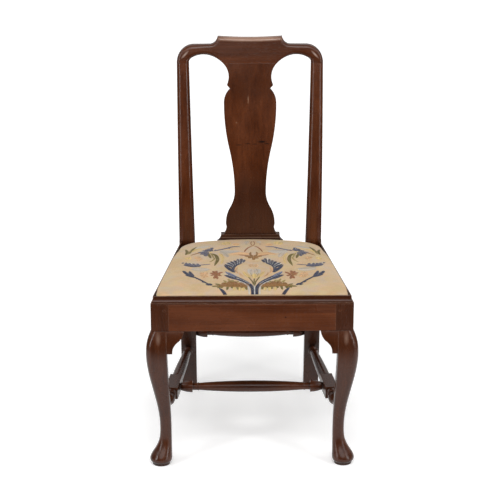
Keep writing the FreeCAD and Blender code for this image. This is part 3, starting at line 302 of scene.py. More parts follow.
@dataclass(frozen=True)
class WoodFinish:
    """An aged, waxed wood.

    Attributes:
        dark: Colour of its dark streaks.
        light: Colour of its light streaks.
        rubbed: Colour of its lighter edges, worn wood that also stands as a painted highlight.
        dirt: Colour of the old wax and grime in corners, which also stands as painted shade there.
        polish: How rough its surface is.
        refraction: Refraction of its wax.
    """

    dark: Colour
    light: Colour
    rubbed: Colour
    dirt: Colour
    polish: float
    refraction: float

    def material(self, effects: Effects, name: str, timber: "Timber", seed: int) -> bpy.types.Material:
        """Builds the finish for one piece.

        Args:
            effects: The shared node groups.
            name: The piece's name.
            timber: How the piece is cut.
            seed: Which stretch of the timber the piece was cut from.

        Returns:
            The material.
        """
        material, nodes = new_material(name + "_wood")
        draw = random.Random(seed)
        shift = tuple(draw.uniform(-TIMBER_REACH, TIMBER_REACH) for _ in range(3))
        where = nodes.place(timber.grain.value, shift)
        dark, light = (tuple(part * timber.tone for part in tone) for tone in (self.dark, self.light))
        tones = {"Dark": opaque(dark), "Light": opaque(light)}
        wood = nodes.group(effects.grain, Vector=where, Polish=self.polish, **tones)
        colour = wood.outputs["Color"]
        for mark in timber.marks:
            colour = self.marked(nodes, colour, mark)
        # The lighter edges are partly a painted highlight, and the darker corners partly painted shade.
        wear_and_painted_light = {"Rubbed": opaque(self.rubbed), "Dirt": opaque(self.dirt), "Rub": timber.rub}
        used = nodes.group(effects.handling_and_painted_light, Color=colour, Vector=where, **wear_and_painted_light)
        relief = {"Height": wood.outputs["Height"], "Distance": PORE_DEPTH}
        bump = nodes.add("Bump", {"Normal": used.outputs["Normal"], **relief})
        inputs = {"Base Color": used.outputs["Color"], "Roughness": wood.outputs["Roughness"]}
        inputs.update({"Normal": bump.outputs[0], "IOR": self.refraction})
        nodes.surface("BsdfPrincipled", inputs)
        return material

    @staticmethod
    def marked(nodes: Nodes, colour: bpy.types.NodeSocket, mark: Mark) -> bpy.types.NodeSocket:
        """Lays one mark over a colour, with a ragged edge."""
        turn = (0, mark.turn, 0)
        middle = Vector((mark.x, 0, mark.z))
        middle.rotate(Euler(turn))
        face = nodes.place(turn, tuple(-middle))
        shares = (1 / mark.half_width, 0, 1 / mark.half_height)
        scaled = nodes.add("VectorMath", {0: face, 1: shares}, operation="MULTIPLY").outputs[0]
        far = nodes.add("VectorMath", {0: scaled}, operation="LENGTH").outputs["Value"]
        ragged = nodes.math("MULTIPLY_ADD", nodes.noise(face, MARK_NOISE, 2), mark.ragged, far)
        share = nodes.math("MULTIPLY", nodes.spread(ragged, MARK_REACH, mark.core), mark.strength)
        return nodes.mix(share, colour, opaque(mark.colour))


MAHOGANY = WoodFinish(
    dark=(0.05, 0.012, 0.0037),
    light=(0.142, 0.039, 0.012),
    rubbed=(0.3, 0.15, 0.09),
    dirt=(0.008, 0.004, 0.003),
    polish=0.24,
    refraction=1.42,
)
OLD_BEECH = WoodFinish(
    dark=(0.16, 0.085, 0.035),
    light=(0.36, 0.22, 0.1),
    rubbed=(0.38, 0.25, 0.13),
    dirt=(0.05, 0.03, 0.016),
    polish=0.62,
    refraction=1.4,
)


@dataclass(frozen=True)
class Timber:
    """How one wooden node is cut.

    Attributes:
        wood: Its finish.
        grain: Which way its grain runs.
        marks: The marks on its face.
        stock: The node it was cut beside, if its grain goes on from there.
        tone: How light it is beside the others: partly its board's colour, partly painted shade on pieces
            that lie in shade.
        rub: How much its edges are made light, as worn wood and as a painted highlight.
    """

    wood: WoodFinish
    grain: Grain
    marks: tuple[Mark, ...] = ()
    stock: str = ""
    tone: float = 1.0
    rub: float = 0.5


def both_sides(mark: Mark) -> tuple[Mark, Mark]:
    """Gives a mark of the left half and its mirror image."""
    return mark, replace(mark, x=-mark.x, turn=-mark.turn)


SPLAT_MARKS = (
    # The first two marks darken the splat broadly: towards its bottom, and less just below the crest.
    Mark(0.0, 0.53, 0.12, 0.1, (0.022, 0.008, 0.0045), 0.55, 0.0),
    Mark(0.0, 0.9, 0.12, 0.06, (0.022, 0.008, 0.0045), 0.3, 0.0),
    Mark(-0.005, 0.836, 0.0012, 0.013, (0.32, 0.18, 0.11), 0.9),
    Mark(-0.036, 0.777, 0.0025, 0.003, (0.24, 0.13, 0.08), 0.6),
    Mark(0.031, 0.7275, 0.015, 0.0045, (0.006, 0.003, 0.002), 0.95, 1.1),
    Mark(0.044, 0.7225, 0.009, 0.0025, (0.008, 0.004, 0.003), 0.9, 1.1),
    Mark(0.012, 0.7215, 0.014, 0.0016, (0.012, 0.005, 0.003), 0.9, 1.1),
    Mark(-0.006, 0.7225, 0.011, 0.002, (0.012, 0.005, 0.003), 0.9, 1.1),
    Mark(-0.029, 0.7195, 0.012, 0.002, (0.012, 0.005, 0.003), 0.9, 1.1),
)
CREST_MARKS = (
    Mark(0.0, 0.962, 0.13, 0.022, (0.028, 0.008, 0.0025), 0.3, 0.0),
    # A lighter band along the top: worn wood and a painted highlight.
    Mark(0.0, 0.9885, 0.086, 0.0068, (0.36, 0.21, 0.145), 0.8, 0.3),
    # Painted highlights on the shoulders of the ears.
    *both_sides(Mark(-0.1695, 0.949, 0.0026, 0.012, (0.5, 0.37, 0.31), 0.8, 0.3, 0, -math.pi / 4)),
)
# Painted highlights on the tops of the knees.
KNEE_PAINTED_HIGHLIGHTS = both_sides(Mark(-0.2325, 0.354, 0.006, 0.015, (0.3, 0.19, 0.14), 0.6, 0.3, 0))
# Painted shade on the rear legs below the seat.
POST_PAINTED_SHADE = (Mark(0.0, 0.2, 0.3, 0.19, (0.016, 0.007, 0.004), 0.55, 0.0),)
# A painted highlight line along the front of the shoe.
SHOE_PAINTED_HIGHLIGHT = (Mark(0.0, 0.4695, 0.1, 0.0013, (0.3, 0.19, 0.14), 0.6, 0.3),)
RAIL_MARKS = (Mark(0.082, 0.407, 0.0035, 0.003, (0.02, 0.009, 0.005), 0.85),)


class ChairFrame:
    """The glued and pegged frame, whose solids keep their shape and get their finish."""

    blocks = ("front_corner_block", "back_corner_block")
    brackets = ("front_bracket", "side_bracket")

    def timbers(self) -> dict[str, Timber]:
        """Says how each wooden node is cut."""
        across = partial(Timber, MAHOGANY, Grain.ACROSS)
        upright = partial(Timber, MAHOGANY, Grain.UPRIGHT)
        along = partial(Timber, MAHOGANY, Grain.FORE_AND_AFT)
        # The tones follow how light each piece looks: partly its board's colour, partly painted shade on
        # pieces in shade, such as the stretchers, the back rail, the shoe and the mouldings.
        plan = {
            "crest_rail": across(CREST_MARKS, tone=0.9, rub=0.1),
            "splat": upright(SPLAT_MARKS, rub=0.1),
            "splat_shoe": across(SHOE_PAINTED_HIGHLIGHT, tone=0.5, rub=0.9),
            "front_seat_rail": across(RAIL_MARKS, tone=1.4),
            "back_seat_rail": across(tone=0.8),
            "front_moulding": across(tone=0.7, rub=0.9),
            "cross_stretcher": across(tone=0.95),
            "back_stretcher": across(tone=0.8),
            "rail_pegs": along(),
            "front_slip_rail": Timber(OLD_BEECH, Grain.ACROSS),
            "back_slip_rail": Timber(OLD_BEECH, Grain.ACROSS),
        }
        for hand in ("left_", "right_"):
            leg = hand + "front_leg"
            plan[leg] = upright(KNEE_PAINTED_HIGHLIGHTS, tone=0.76)
            plan[hand + "rear_post"] = upright(POST_PAINTED_SHADE, tone=0.95, rub=0.15)
            plan[hand + "seat_rail"] = along(tone=0.9)
            plan[hand + "moulding"] = along(tone=0.7, rub=0.9)
            plan[hand + "stretcher"] = along(tone=0.7)
            plan[hand + "slip_rail"] = Timber(OLD_BEECH, Grain.FORE_AND_AFT)
            plan.update({hand + name: upright(tone=0.76, stock=leg) for name in self.brackets})
            plan.update({hand + name: Timber(OLD_BEECH, Grain.UPRIGHT) for name in self.blocks})
        return plan

    def dress(self, effects: Effects) -> None:
        """Gives every wooden node its finish.

        Args:
            effects: The shared node groups.
        """
        plan = self.timbers()
        seeds = {name: seed for seed, name in enumerate(plan)}
        for name, timber in plan.items():
            seed = seeds[timber.stock or name]
            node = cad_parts[name]
            node.data.materials.clear()
            node.data.materials.append(timber.wood.material(effects, name, timber, seed))
            LOG.info("finished %s", name)


@dataclass(frozen=True)
class ClothFinish:
    """A woven cloth.

    Attributes:
        colour: Its colour.
        stain: Its colour where it has aged.
        pitch: How far apart its yarns lie.
        slant: How the weave slants, from 0 for plain to 1 for twill.
        relief: Height of its yarns.
        washes: Colours that have run into it.
    """

    colour: Colour
    stain: Colour
    pitch: float
    slant: float
    relief: float
    washes: tuple[Colour, ...] = ()

    def material(self, effects: Effects, name: str) -> bpy.types.Material:
        """Builds the cloth.

        Args:
            effects: The shared node groups.
            name: The material's name.

        Returns:
            The material.
        """
        material, nodes = new_material(name)
        where = nodes.place()
        cloth = nodes.group(effects.weave, Vector=where, Pitch=self.pitch, Slant=self.slant)
        age = nodes.spread(nodes.noise(where, (11, 11, 11), 4, 0.5), 0.4, 0.68)
        aged = nodes.mix(age, opaque(self.colour), opaque(self.stain))
        for number, wash in enumerate(self.washes):
            spot = nodes.place(shift=(number * 0.7, number * 1.3, 0))
            patchy = nodes.noise(spot, (26, 30, 26), 4, 0.8)
            aged = nodes.mix(nodes.spread(patchy, 0.46, 0.74, 0, 0.55), aged, opaque(wash))
        uneven = nodes.spread(cloth.outputs["Shade"], 0, 1, 0.22, 0)
        shaded = nodes.mix(uneven, aged, opaque((0.55, 0.5, 0.42)), "MULTIPLY")
        # Darker in the weave's hollows: painted shade.
        hollow = nodes.spread(cloth.outputs["Height"], 0, 0.5, 0.3, 0)
        woven = nodes.mix(hollow, shaded, opaque((0.55, 0.48, 0.4)), "MULTIPLY")
        relief = {"Height": cloth.outputs["Height"], "Distance": self.relief, "Strength": 0.7}
        bump = nodes.add("Bump", relief)
        inputs = {"Base Color": woven, "Roughness": 0.9, "Normal": bump.outputs[0], "Specular IOR Level": 0.2}
        inputs.update({"Sheen Weight": 0.15, "Sheen Roughness": 0.5})
        nodes.surface("BsdfPrincipled", inputs)
        return material


FADED_WASHES = (linear(203, 190, 138), linear(186, 174, 168), linear(216, 176, 136))
COVER_CLOTH = ClothFinish(linear(205, 178, 144), linear(196, 166, 123), 0.0011, 0.5, 0.0002, FADED_WASHES)
CANVAS_CLOTH = ClothFinish(linear(171, 140, 94), linear(140, 112, 74), 0.0016, 0, 0.0004)
WEBBING_CLOTH = ClothFinish(linear(178, 154, 116), linear(138, 116, 84), 0.0022, 1, 0.0005)


def fresh_start() -> None:
    """Leaves edit mode and deselects everything, so that an operator acts on its own piece."""
    if bpy.context.object is not None and bpy.context.object.mode != "OBJECT":
        bpy.ops.object.mode_set(mode="OBJECT")
    bpy.ops.object.select_all(action="DESELECT")


def pick(piece: bpy.types.Object) -> None:
    """Selects one piece alone and makes it the active one."""
    fresh_start()
    bpy.context.view_layer.objects.active = piece
    piece.select_set(True)


def apply_modifier(piece: bpy.types.Object, kind: str, **settings: object) -> None:
    """Adds a modifier to a piece, sets it and applies it.

    Args:
        piece: The piece.
        kind: Blender's kind of modifier.
        settings: The modifier's own properties.
    """
    pick(piece)
    modifier = piece.modifiers.new(kind.lower(), kind)
    for name, value in settings.items():
        setattr(modifier, name, value)
    bpy.ops.object.modifier_apply(modifier=modifier.name)


def new_grid(name: str, across: int, along: int) -> bpy.types.Object:
    """Adds a flat grid, one unit to each side of the origin, to be shaped.

    Args:
        name: The piece's name.
        across: Faces along X.
        along: Faces along Y.

    Returns:
        The piece.
    """
    fresh_start()
    bpy.ops.mesh.primitive_grid_add(x_subdivisions=across, y_subdivisions=along, size=2)
    piece = bpy.context.object
    piece.name = name
    piece.data.name = name
    return piece


@dataclass
class SeatPlan:
    """Plan of the loose seat: a trapezoid with rounded corners, from the frame's seat cover.

    Attributes:
        front_half: Half its width at the front.
        back_half: Half its width at the back.
        front_round: Radius of the front corners.
        back_round: Radius of the back corners.
        least_round: The least radius of a corner that is moved in.
        arc_steps: Steps of a corner's arc.
    """

    front_half: float = 0.23952
    back_half: float = 0.18005
    front_round: float = 0.012
    back_round: float = 0.056
    least_round: float = 0.0005
    arc_steps: int = 16

    def __post_init__(self) -> None:
        """Reads where the seat lies from the frame."""
        low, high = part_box("seat_cover")
        self.front, self.back = low.y, high.y
        self.low, self.top = low.z, high.z

    def half_at(self, y: float, inset: float = 0) -> float:
        """Half the seat's width at a place along its depth, with its sides moved in."""
        splay = (self.front_half - self.back_half) / (self.back - self.front)
        return self.front_half - splay * (y - self.front) - inset * math.hypot(1, splay)

    def side(self, which: int, steps: int, inset: float) -> list[Vector]:
        """Points along one side, from the middle of one rounded corner to the middle of the next.

        Args:
            which: 0 for the front, then round to the right, the back and the left.
            steps: How many equal stretches to divide it into.
            inset: How far inside the cover's edge.

        Returns:
            The points.
        """
        front, back = self.front + inset, self.back - inset
        ends = ((-1, front), (1, front), (1, back), (-1, back))
        corners = [Vector((hand * self.half_at(y, inset), y)) for hand, y in ends]
        full = (self.front_round, self.front_round, self.back_round, self.back_round)
        rounds = [max(self.least_round, radius - inset) for radius in full]
        path = []
        for end in (0, 1):
            here = (which + end) % 4
            arc = self.corner_arc(corners[here - 1], corners[here], corners[(here + 1) % 4], rounds[here])
            middle = len(arc) // 2
            path += arc[: middle + 1] if end else arc[middle:]
        return evenly(path, steps)

    def sides(self, across: int, along: int, inset: float) -> list[list[Vector]]:
        """Points along the front, the right, the back and the left."""
        return [self.side(which, steps, inset) for which, steps in enumerate((across, along) * 2)]

    def corner_arc(self, before: Vector, corner: Vector, after: Vector, radius: float) -> list[Vector]:
        """Points of the arc that rounds one corner."""
        back, on = (before - corner).normalized(), (after - corner).normalized()
        half = back.angle(on) / 2
        start, end = corner + back * radius / math.tan(half), corner + on * radius / math.tan(half)
        centre = corner + (back + on).normalized() * radius / math.sin(half)
        turn = (start - centre).angle_signed(end - centre)
        arm = start - centre
        arc = []
        for step in range(self.arc_steps + 1):
            angle = -turn * step / self.arc_steps
            cos, sin = math.cos(angle), math.sin(angle)
            arc.append(centre + Vector((arm.x * cos - arm.y * sin, arm.x * sin + arm.y * cos)))
        return arc

    def patch(self, u: float, v: float, sides: list[list[Vector]]) -> Vector:
        """A place inside the plan, blended from its four sides.

        Args:
            u: Share of the way across, from the left.
            v: Share of the way along, from the front.
            sides: Points of the front, right, back and left.

        Returns:
            The place.
        """
        front, right, back, left = sides
        i, j = round(u * (len(front) - 1)), round(v * (len(right) - 1))
        lengthwise = front[i] * (1 - v) + back[-1 - i] * v
        crosswise = left[-1 - j] * (1 - u) + right[j] * u
        near = (front[0] * (1 - u) + front[-1] * u) * (1 - v)
        far = (back[0] * u + back[-1] * (1 - u)) * v
        return lengthwise + crosswise - near - far


def ease(value: float, start: float, end: float) -> float:
    """Goes smoothly from 0 at the start to 1 at the end."""
    share = min(1.0, max(0.0, (value - start) / (end - start)))
    return share * share * (3 - 2 * share)


def evenly(path: list[Vector], steps: int) -> list[Vector]:
    """Divides a path into equal stretches.

    Args:
        path: Points of the path.
        steps: How many stretches.

    Returns:
        The points between the stretches, with both ends.
    """
    reach = [0.0]
    for one, two in zip(path, path[1:]):
        reach.append(reach[-1] + (two - one).length)
    points, piece = [], 0
    for step in range(steps + 1):
        want = reach[-1] * step / steps
        while piece < len(path) - 2 and reach[piece + 1] < want:
            piece += 1
        share = (want - reach[piece]) / max(TINY, reach[piece + 1] - reach[piece])
        points.append(path[piece].lerp(path[piece + 1], min(1, max(0, share))))
    return points


STUFFING = {
    "quality": 5,
    "use_pressure": True,
    "uniform_pressure_force": 4,
    "tension_stiffness": 25,
    "compression_stiffness": 25,
    "bending_stiffness": 2,
}


@dataclass
class SeatPad:
    """The stuffed pad under its linen cover, turned under the slip frame and tacked there.

    Attributes:
        plan: The seat's plan.
        roll: Radius of its rolled edge.
        roll_steps: Loops of points round the roll.
        front_radius: How its front is crowned across.
        back_radius: How its back is crowned across.
        along_radius: How it is crowned from front to back.
        overhang: How far its sides swell over the mouldings.
        overhang_start: Shares of a side, from the front, between which that sets in.
        overhang_end: Shares of a side between which it dies away.
        overhang_turn: How early in the roll it is over.
        overhang_fullness: Power of the swelling's curve, fuller below 1.
        lip_clearance: How far above the moulding the roll ends.
        lip_rise: How much higher the roll starts.
        slack: How low its top lies before it is stuffed.
        swell: The most that stuffing moves its top.
        lump: Height of the stuffing's lumps.
        lump_scale: How close the lumps lie.
        lump_slope: How far a place must face up to have lumps.
        turn_under: How far the cover is turned under the frame.
        fold: Size of the turned cover's folds.
        hem_fold: The hem's own fold, from below and from above.
        cloth: Thickness of the turned cover.
        cloth_clearance: Room between the cover and the slip frame.
        across: Faces across the top.
        along: Faces along the top.
        frames: Frames of the simulation.
    """

    plan: SeatPlan
    roll: float = 8 * MM
    roll_steps: int = 6
    front_radius: float = 7.0
    back_radius: float = 1.3
    along_radius: float = 10.0
    overhang: float = 4.5 * MM
    overhang_start: Point = (0.03, 0.12)
    overhang_end: Point = (0.66, 0.86)
    overhang_turn: float = 1.02
    overhang_fullness: float = 0.8
    lip_clearance: float = 0.6 * MM
    lip_rise: float = 3.6 * MM
    slack: float = 0.6 * MM
    swell: float = 3 * MM
    lump: float = 0.35 * MM
    lump_scale: float = 22.0
    lump_slope: float = 0.5
    turn_under: float = 24 * MM
    fold: float = 1 * MM
    hem_fold: Point = (0.5 * MM, 0.3 * MM)
    cloth: float = 1.5 * MM
    cloth_clearance: float = 0.1 * MM
    across: int = 56
    along: int = 46
    frames: int = 20

    def crown(self, x: float, y: float) -> float:
        """Height of the pad's top, before it is stuffed."""
        middle = (self.plan.front + self.plan.back) / 2
        rear = max(0.0, (y - middle) / (self.plan.back - middle))
        bend = 1 / self.front_radius + rear * rear * (1 / self.back_radius - 1 / self.front_radius)
        return self.plan.top - x * x * bend / 2 - (y - middle) ** 2 / (2 * self.along_radius)

    def build(self, effects: Effects) -> bpy.types.Object:
        """Makes the pad, stuffs it by simulation and dresses it.

        Args:
            effects: The shared node groups.

        Returns:
            The pad.
        """
        pad = self.top()
        self.wrap(pad)
        self.stuff(pad)
        apply_modifier(pad, "SUBSURF", levels=1, render_levels=1)
        bpy.ops.object.shade_smooth()
        pad.data.materials.append(COVER_CLOTH.material(effects, "cover_linen"))
        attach(pad, SEAT_BODY)
        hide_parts("seat_cover", "seat_stuffing")
        LOG.info("built %s", pad.name)
        return pad

    def top(self) -> bpy.types.Object:
        """Shapes a grid into the pad's crowned top, up to where its edge starts to roll over."""
        pad = new_grid("seat_pad", self.across, self.along)
        sides = self.plan.sides(self.across, self.along, self.roll)
        rim = pad.data.attributes.new("rim", "INT", "POINT")
        for index, vertex in enumerate(pad.data.vertices):
            u, v = (vertex.co.x + 1) / 2, (vertex.co.y + 1) / 2
            where = self.plan.patch(u, v, sides)
            vertex.co = (where.x, where.y, self.crown(where.x, where.y) - self.slack)
            rim.data[index].value = self.rim_number(round(u * self.across), round(v * self.along))
        return pad

    def rim_number(self, i: int, j: int) -> int:
        """Counts a grid corner along the rim, from 1 at the front left, or gives 0 inside."""
        if j == 0:
            return 1 + i
        if i == self.across:
            return 1 + self.across + j
        if j == self.along:
            return 1 + 2 * self.across + self.along - i
        if i == 0:
            return 1 + 2 * (self.across + self.along) - j
        return 0

    def rim_points(self, inset: float) -> list[Vector]:
        """The rim's points at an inset, in the order of their numbers."""
        return [point for side in self.plan.sides(self.across, self.along, inset) for point in side[:-1]]

    def section(self) -> list[tuple[float, float, bool]]:
        """The cover's way over the edge and under the seat, as inset, height and whether the crown adds.

        Returns:
            One entry for each loop of points.
        """
        slip_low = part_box("front_slip_rail")[0].z
        stuffing_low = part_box("seat_stuffing")[0].z
        loops = []
        for step in range(1, self.roll_steps + 1):
            angle = math.pi / 2 * step / self.roll_steps
            drop = self.roll * (1 - math.cos(angle)) + self.slack
            loops.append((self.roll * (1 - math.sin(angle)), -drop, True))
        low, hem = self.plan.low, self.plan.low + self.cloth
        wall = (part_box("seat_canvas")[0].z + low) / 2
        end, inner = self.turn_under, self.cloth + self.cloth_clearance
        below, above = self.hem_fold
        under = [(0, wall), (0, low + self.fold), (self.fold, low), (end - self.fold, low)]
        under += [(end, low + below), (end, hem - above), (end - self.fold, hem)]
        under += [(inner, min(hem, slip_low)), (inner, stuffing_low)]
        return loops + [(inset, height, False) for inset, height in under]

    def wrap(self, pad: bpy.types.Object) -> None:
        """Extrudes the pad's rim over the edge, under the seat and up inside, and closes its flat base.

        Args:
            pad: The pad's top.
        """
        bpy.ops.object.mode_set(mode="EDIT")
        bpy.ops.mesh.select_mode(type="EDGE")
        bpy.ops.mesh.select_all(action="DESELECT")
        bpy.ops.mesh.select_non_manifold()
        outer = self.rim_points(self.roll)
        for inset, height, crowned in self.section():
            bpy.ops.mesh.extrude_region_move()
            bpy.ops.object.mode_set(mode="OBJECT")
            points = self.rim_points(inset)
            numbers = pad.data.attributes["rim"].data
            for vertex in pad.data.vertices:
                if vertex.select:
                    number = numbers[vertex.index].value - 1
                    place = points[number].to_3d()
                    place.z = height
                    if crowned:
                        place.z += self.crown(outer[number].x, outer[number].y)
                        place = self.bulged(place, number, inset)
                    vertex.co = place
            bpy.ops.object.mode_set(mode="EDIT")
        bpy.ops.mesh.edge_face_add()
        bpy.ops.mesh.poke()
        bpy.ops.mesh.select_all(action="SELECT")
        bpy.ops.mesh.normals_make_consistent(inside=False)
        bpy.ops.object.mode_set(mode="OBJECT")

    def bulged(self, place: Vector, number: int, inset: float) -> Vector:
        """Moves a place on the pad's edge out over the moulding, along most of both sides.

        Args:
            place: The place on a plain, rolled edge.
            number: Its number along the rim.
            inset: How far inside the cover's edge it lies.

        Returns:
            The place on the full edge.
        """
        side, step = divmod(number - self.across, self.across + self.along)
        if number < self.across or step >= self.along or side > 1:
            return place
        way = step / self.along if side == 0 else 1 - step / self.along
        share = ease(way, *self.overhang_start) * (1 - ease(way, *self.overhang_end))
        turned = 1 - inset / self.roll
        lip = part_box("left_moulding")[1].z + self.lip_clearance
        bulge = math.sin(math.pi * min(1.0, turned * self.overhang_turn)) ** self.overhang_fullness
        place.z += share * max(0.0, lip + self.lip_rise * (1 - turned) - place.z)
        place.x += math.copysign(self.overhang * bulge * share, place.x)
        return place

    def stuff(self, pad: bpy.types.Object) -> None:
        """Swells the pad's free top as cloth under pressure, held at its sides, and caps how far it moves.

        Args:
            pad: The wrapped pad.
        """
        start = [vertex.co.copy() for vertex in pad.data.vertices]
        self.simulate(pad)
        for vertex, before in zip(pad.data.vertices, start):
            move = vertex.co - before
            if move.length > self.swell:
                vertex.co = before + move.normalized() * self.swell
            if vertex.normal.z > self.lump_slope:
                vertex.co.z += self.lump * noise.noise(vertex.co * self.lump_scale)
        pad.data.update()

    def simulate(self, pad: bpy.types.Object) -> None:
        """Runs the cloth and leaves its result in the mesh."""
        held = pad.vertex_groups.new(name="held")
        free_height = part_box("seat_canvas")[1].z
        rim = pad.data.attributes["rim"].data
        tied = [v.index for v in pad.data.vertices if v.co.z < free_height or rim[v.index].value > 0]
        held.add(tied, 1.0, "REPLACE")
        cloth = pad.modifiers.new("stuffing", "CLOTH")
        cloth.settings.vertex_group_mass = held.name
        cloth.settings.effector_weights.gravity = 0
        for name, value in STUFFING.items():
            setattr(cloth.settings, name, value)
        cloth.point_cache.frame_end = self.frames
        scene = bpy.context.scene
        for step in range(1, self.frames + 1):
            scene.frame_set(step)
        bpy.context.view_layer.objects.active = pad
        bpy.ops.object.modifier_apply(modifier=cloth.name)
        scene.frame_set(1)


@dataclass
class SeatBase:
    """The webbing, canvas and tacks of the drop-in seat, seen from below and when it is lifted out.

    Attributes:
        plan: The seat's plan.
        webbing_width: Width of a strip.
        webbing_thickness: Thickness of a strip.
        webbing_clearance: Room that the plaited strips keep above and below.
        landing: How far inside the cover's edge a strip ends.
        strips: How many strips each way.
        strip_faces: Faces along and across a strip.
        canvas_faces: Faces across and along the canvas.
        canvas_share: Thickness of the canvas, as a share of its node's.
        ripple: Height of the canvas's ripples.
        ripple_scale: How close the ripples lie.
        tack_radius: Radius of a tack's head.
        tack_height: Height of a tack's head.
        tack_round: How much of that height is rounded.
        tack_bite: How far a head is driven into the cover.
        tack_inset: How far inside the cover's edge the tacks lie.
        tack_pitch: About how far apart they lie.
        tack_margin: How many radii a tack keeps from a corner block.
        edge_steps: Steps in which each edge is measured.
    """

    plan: SeatPlan
    webbing_width: float = 50 * MM
    webbing_thickness: float = 1.0 * MM
    webbing_clearance: float = 0.1 * MM
    landing: float = 22 * MM
    strips: int = 3
    strip_faces: tuple[int, int] = (80, 6)
    canvas_faces: tuple[int, int] = (60, 50)
    canvas_share: float = 0.7
    ripple: float = 0.08 * MM
    ripple_scale: float = 40.0
    tack_radius: float = 2.6 * MM
    tack_height: float = 0.8 * MM
    tack_round: float = 0.7
    tack_bite: float = 0.15 * MM
    tack_inset: float = 20.6 * MM
    tack_pitch: float = 34 * MM
    tack_margin: float = 1.6
    edge_steps: int = 200

    def build(self, effects: Effects) -> None:
        """Makes and dresses the base's pieces.

        Args:
            effects: The shared node groups.
        """
        self.webbing(effects)
        self.canvas(effects)
        self.tacks()

    def webbing(self, effects: Effects) -> None:
        """Lays three strips each way, plaited over and under each other."""
        cloth = WEBBING_CLOTH.material(effects, "webbing_linen")
        across_low, across_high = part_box("webbing_across")
        along_low, along_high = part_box("webbing_along")
        middle = (across_low.z + along_high.z) / 2
        rise = (along_high.z - across_low.z - self.webbing_thickness) / 2 - self.webbing_clearance
        for number in range(self.strips):
            y = self.strip_middle("webbing_across", 1, number)
            half = self.plan.half_at(y, self.landing)
            ends = (Vector((-half, y, middle)), Vector((half, y, middle)))
            start = rise if number % 2 else -rise
            self.strip(f"webbing_strip_across_{number + 1}", ends, start, cloth, "webbing_across")
        for number in range(self.strips):
            x = self.strip_middle("webbing_along", 0, number)
            ends = (Vector((x, along_low.y, middle)), Vector((x, along_high.y, middle)))
            start = -rise if number % 2 else rise
            self.strip(f"webbing_strip_along_{number + 1}", ends, start, cloth, "webbing_along")

    def strip_middle(self, node: str, axis: int, number: int) -> float:
        """Where a strip's middle lies across its own length, from its CAD node's box."""
        low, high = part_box(node)
        first = low[axis] + self.webbing_width / 2
        last = high[axis] - self.webbing_width / 2
        return first + (last - first) * number / (self.strips - 1)

    def strip(
        self, name: str, ends: tuple[Vector, Vector], rise: float, cloth: bpy.types.Material, node: str
    ) -> None:
        """Makes one strip of webbing.

        Args:
            name: The piece's name.
            ends: The middles of its two ends.
            rise: How far it lies above its middle height where it first crosses, and below at the next.
            cloth: Its material.
            node: The CAD node that it stands for.
        """
        piece = new_grid(name, *self.strip_faces)
        run = ends[1] - ends[0]
        side = Vector((-run.y, run.x, 0)).normalized() * self.webbing_width / 2
        across = abs(run.x) > abs(run.y)
        other = "webbing_along" if across else "webbing_across"
        crossings = [self.strip_middle(other, 0 if across else 1, n) for n in range(self.strips)]
        pitch = crossings[1] - crossings[0]
        for vertex in piece.data.vertices:
            place = ends[0] + run * (vertex.co.x + 1) / 2 + side * vertex.co.y
            here = place.x if across else place.y
            place.z += rise * math.cos((here - crossings[0]) / pitch * math.pi)
            vertex.co = place
        apply_modifier(piece, "SOLIDIFY", thickness=self.webbing_thickness, offset=0)
        bpy.ops.object.shade_smooth_by_angle(angle=math.radians(40))
        piece.data.materials.append(cloth)
        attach(piece, SEAT_BODY)
        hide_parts(node)
        LOG.info("built %s", name)

    def canvas(self, effects: Effects) -> None:
        """Stretches the canvas over the webbing."""
        low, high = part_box("seat_canvas")
        inset = low.y - self.plan.front
        piece = new_grid("canvas_sheet", *self.canvas_faces)
        sides = self.plan.sides(*self.canvas_faces, inset)
        for vertex in piece.data.vertices:
            where = self.plan.patch((vertex.co.x + 1) / 2, (vertex.co.y + 1) / 2, sides)
            ripple = self.ripple * noise.noise(where.to_3d() * self.ripple_scale)
            vertex.co = (where.x, where.y, (low.z + high.z) / 2 + ripple)
        apply_modifier(piece, "SOLIDIFY", thickness=(high.z - low.z) * self.canvas_share, offset=0)
        piece.data.materials.append(CANVAS_CLOTH.material(effects, "canvas_hessian"))
        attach(piece, SEAT_BODY)
        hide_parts("seat_canvas")
        LOG.info("built %s", piece.name)

    def tack_spots(self) -> list[Vector]:
        """Places for the tacks along the cover's turned edge, clear of the corner blocks."""
        corners = [hand + end for hand in ("left_", "right_") for end in ("front", "back")]
        blocks = [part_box(corner + "_corner_block") for corner in corners]
        found = []
        for run in self.plan.sides(self.edge_steps, self.edge_steps, self.tack_inset):
            length = sum((b - a).length for a, b in zip(run, run[1:]))
            spots = evenly(run, round(length / self.tack_pitch))
            found += [spot for spot in spots[1:-1] if not self.over(spot, blocks)]
        return found

    def one_tack(self) -> bpy.types.Object:
        """Makes one tack's head, rounded on its lower side."""
        fresh_start()
        bpy.ops.mesh.primitive_cylinder_add(vertices=12, radius=self.tack_radius, depth=self.tack_height)
        tack = bpy.context.object
        tack.name = "cover_tacks"
        bpy.ops.object.mode_set(mode="EDIT")
        bpy.ops.mesh.select_mode(type="FACE")
        bpy.ops.mesh.select_all(action="DESELECT")
        bpy.ops.object.mode_set(mode="OBJECT")
        for face in tack.data.polygons:
            face.select = face.normal.z < -0.9
        bpy.ops.object.mode_set(mode="EDIT")
        bpy.ops.mesh.bevel(offset=self.tack_height * self.tack_round, segments=3, affect="EDGES")
        bpy.ops.object.mode_set(mode="OBJECT")
        return tack

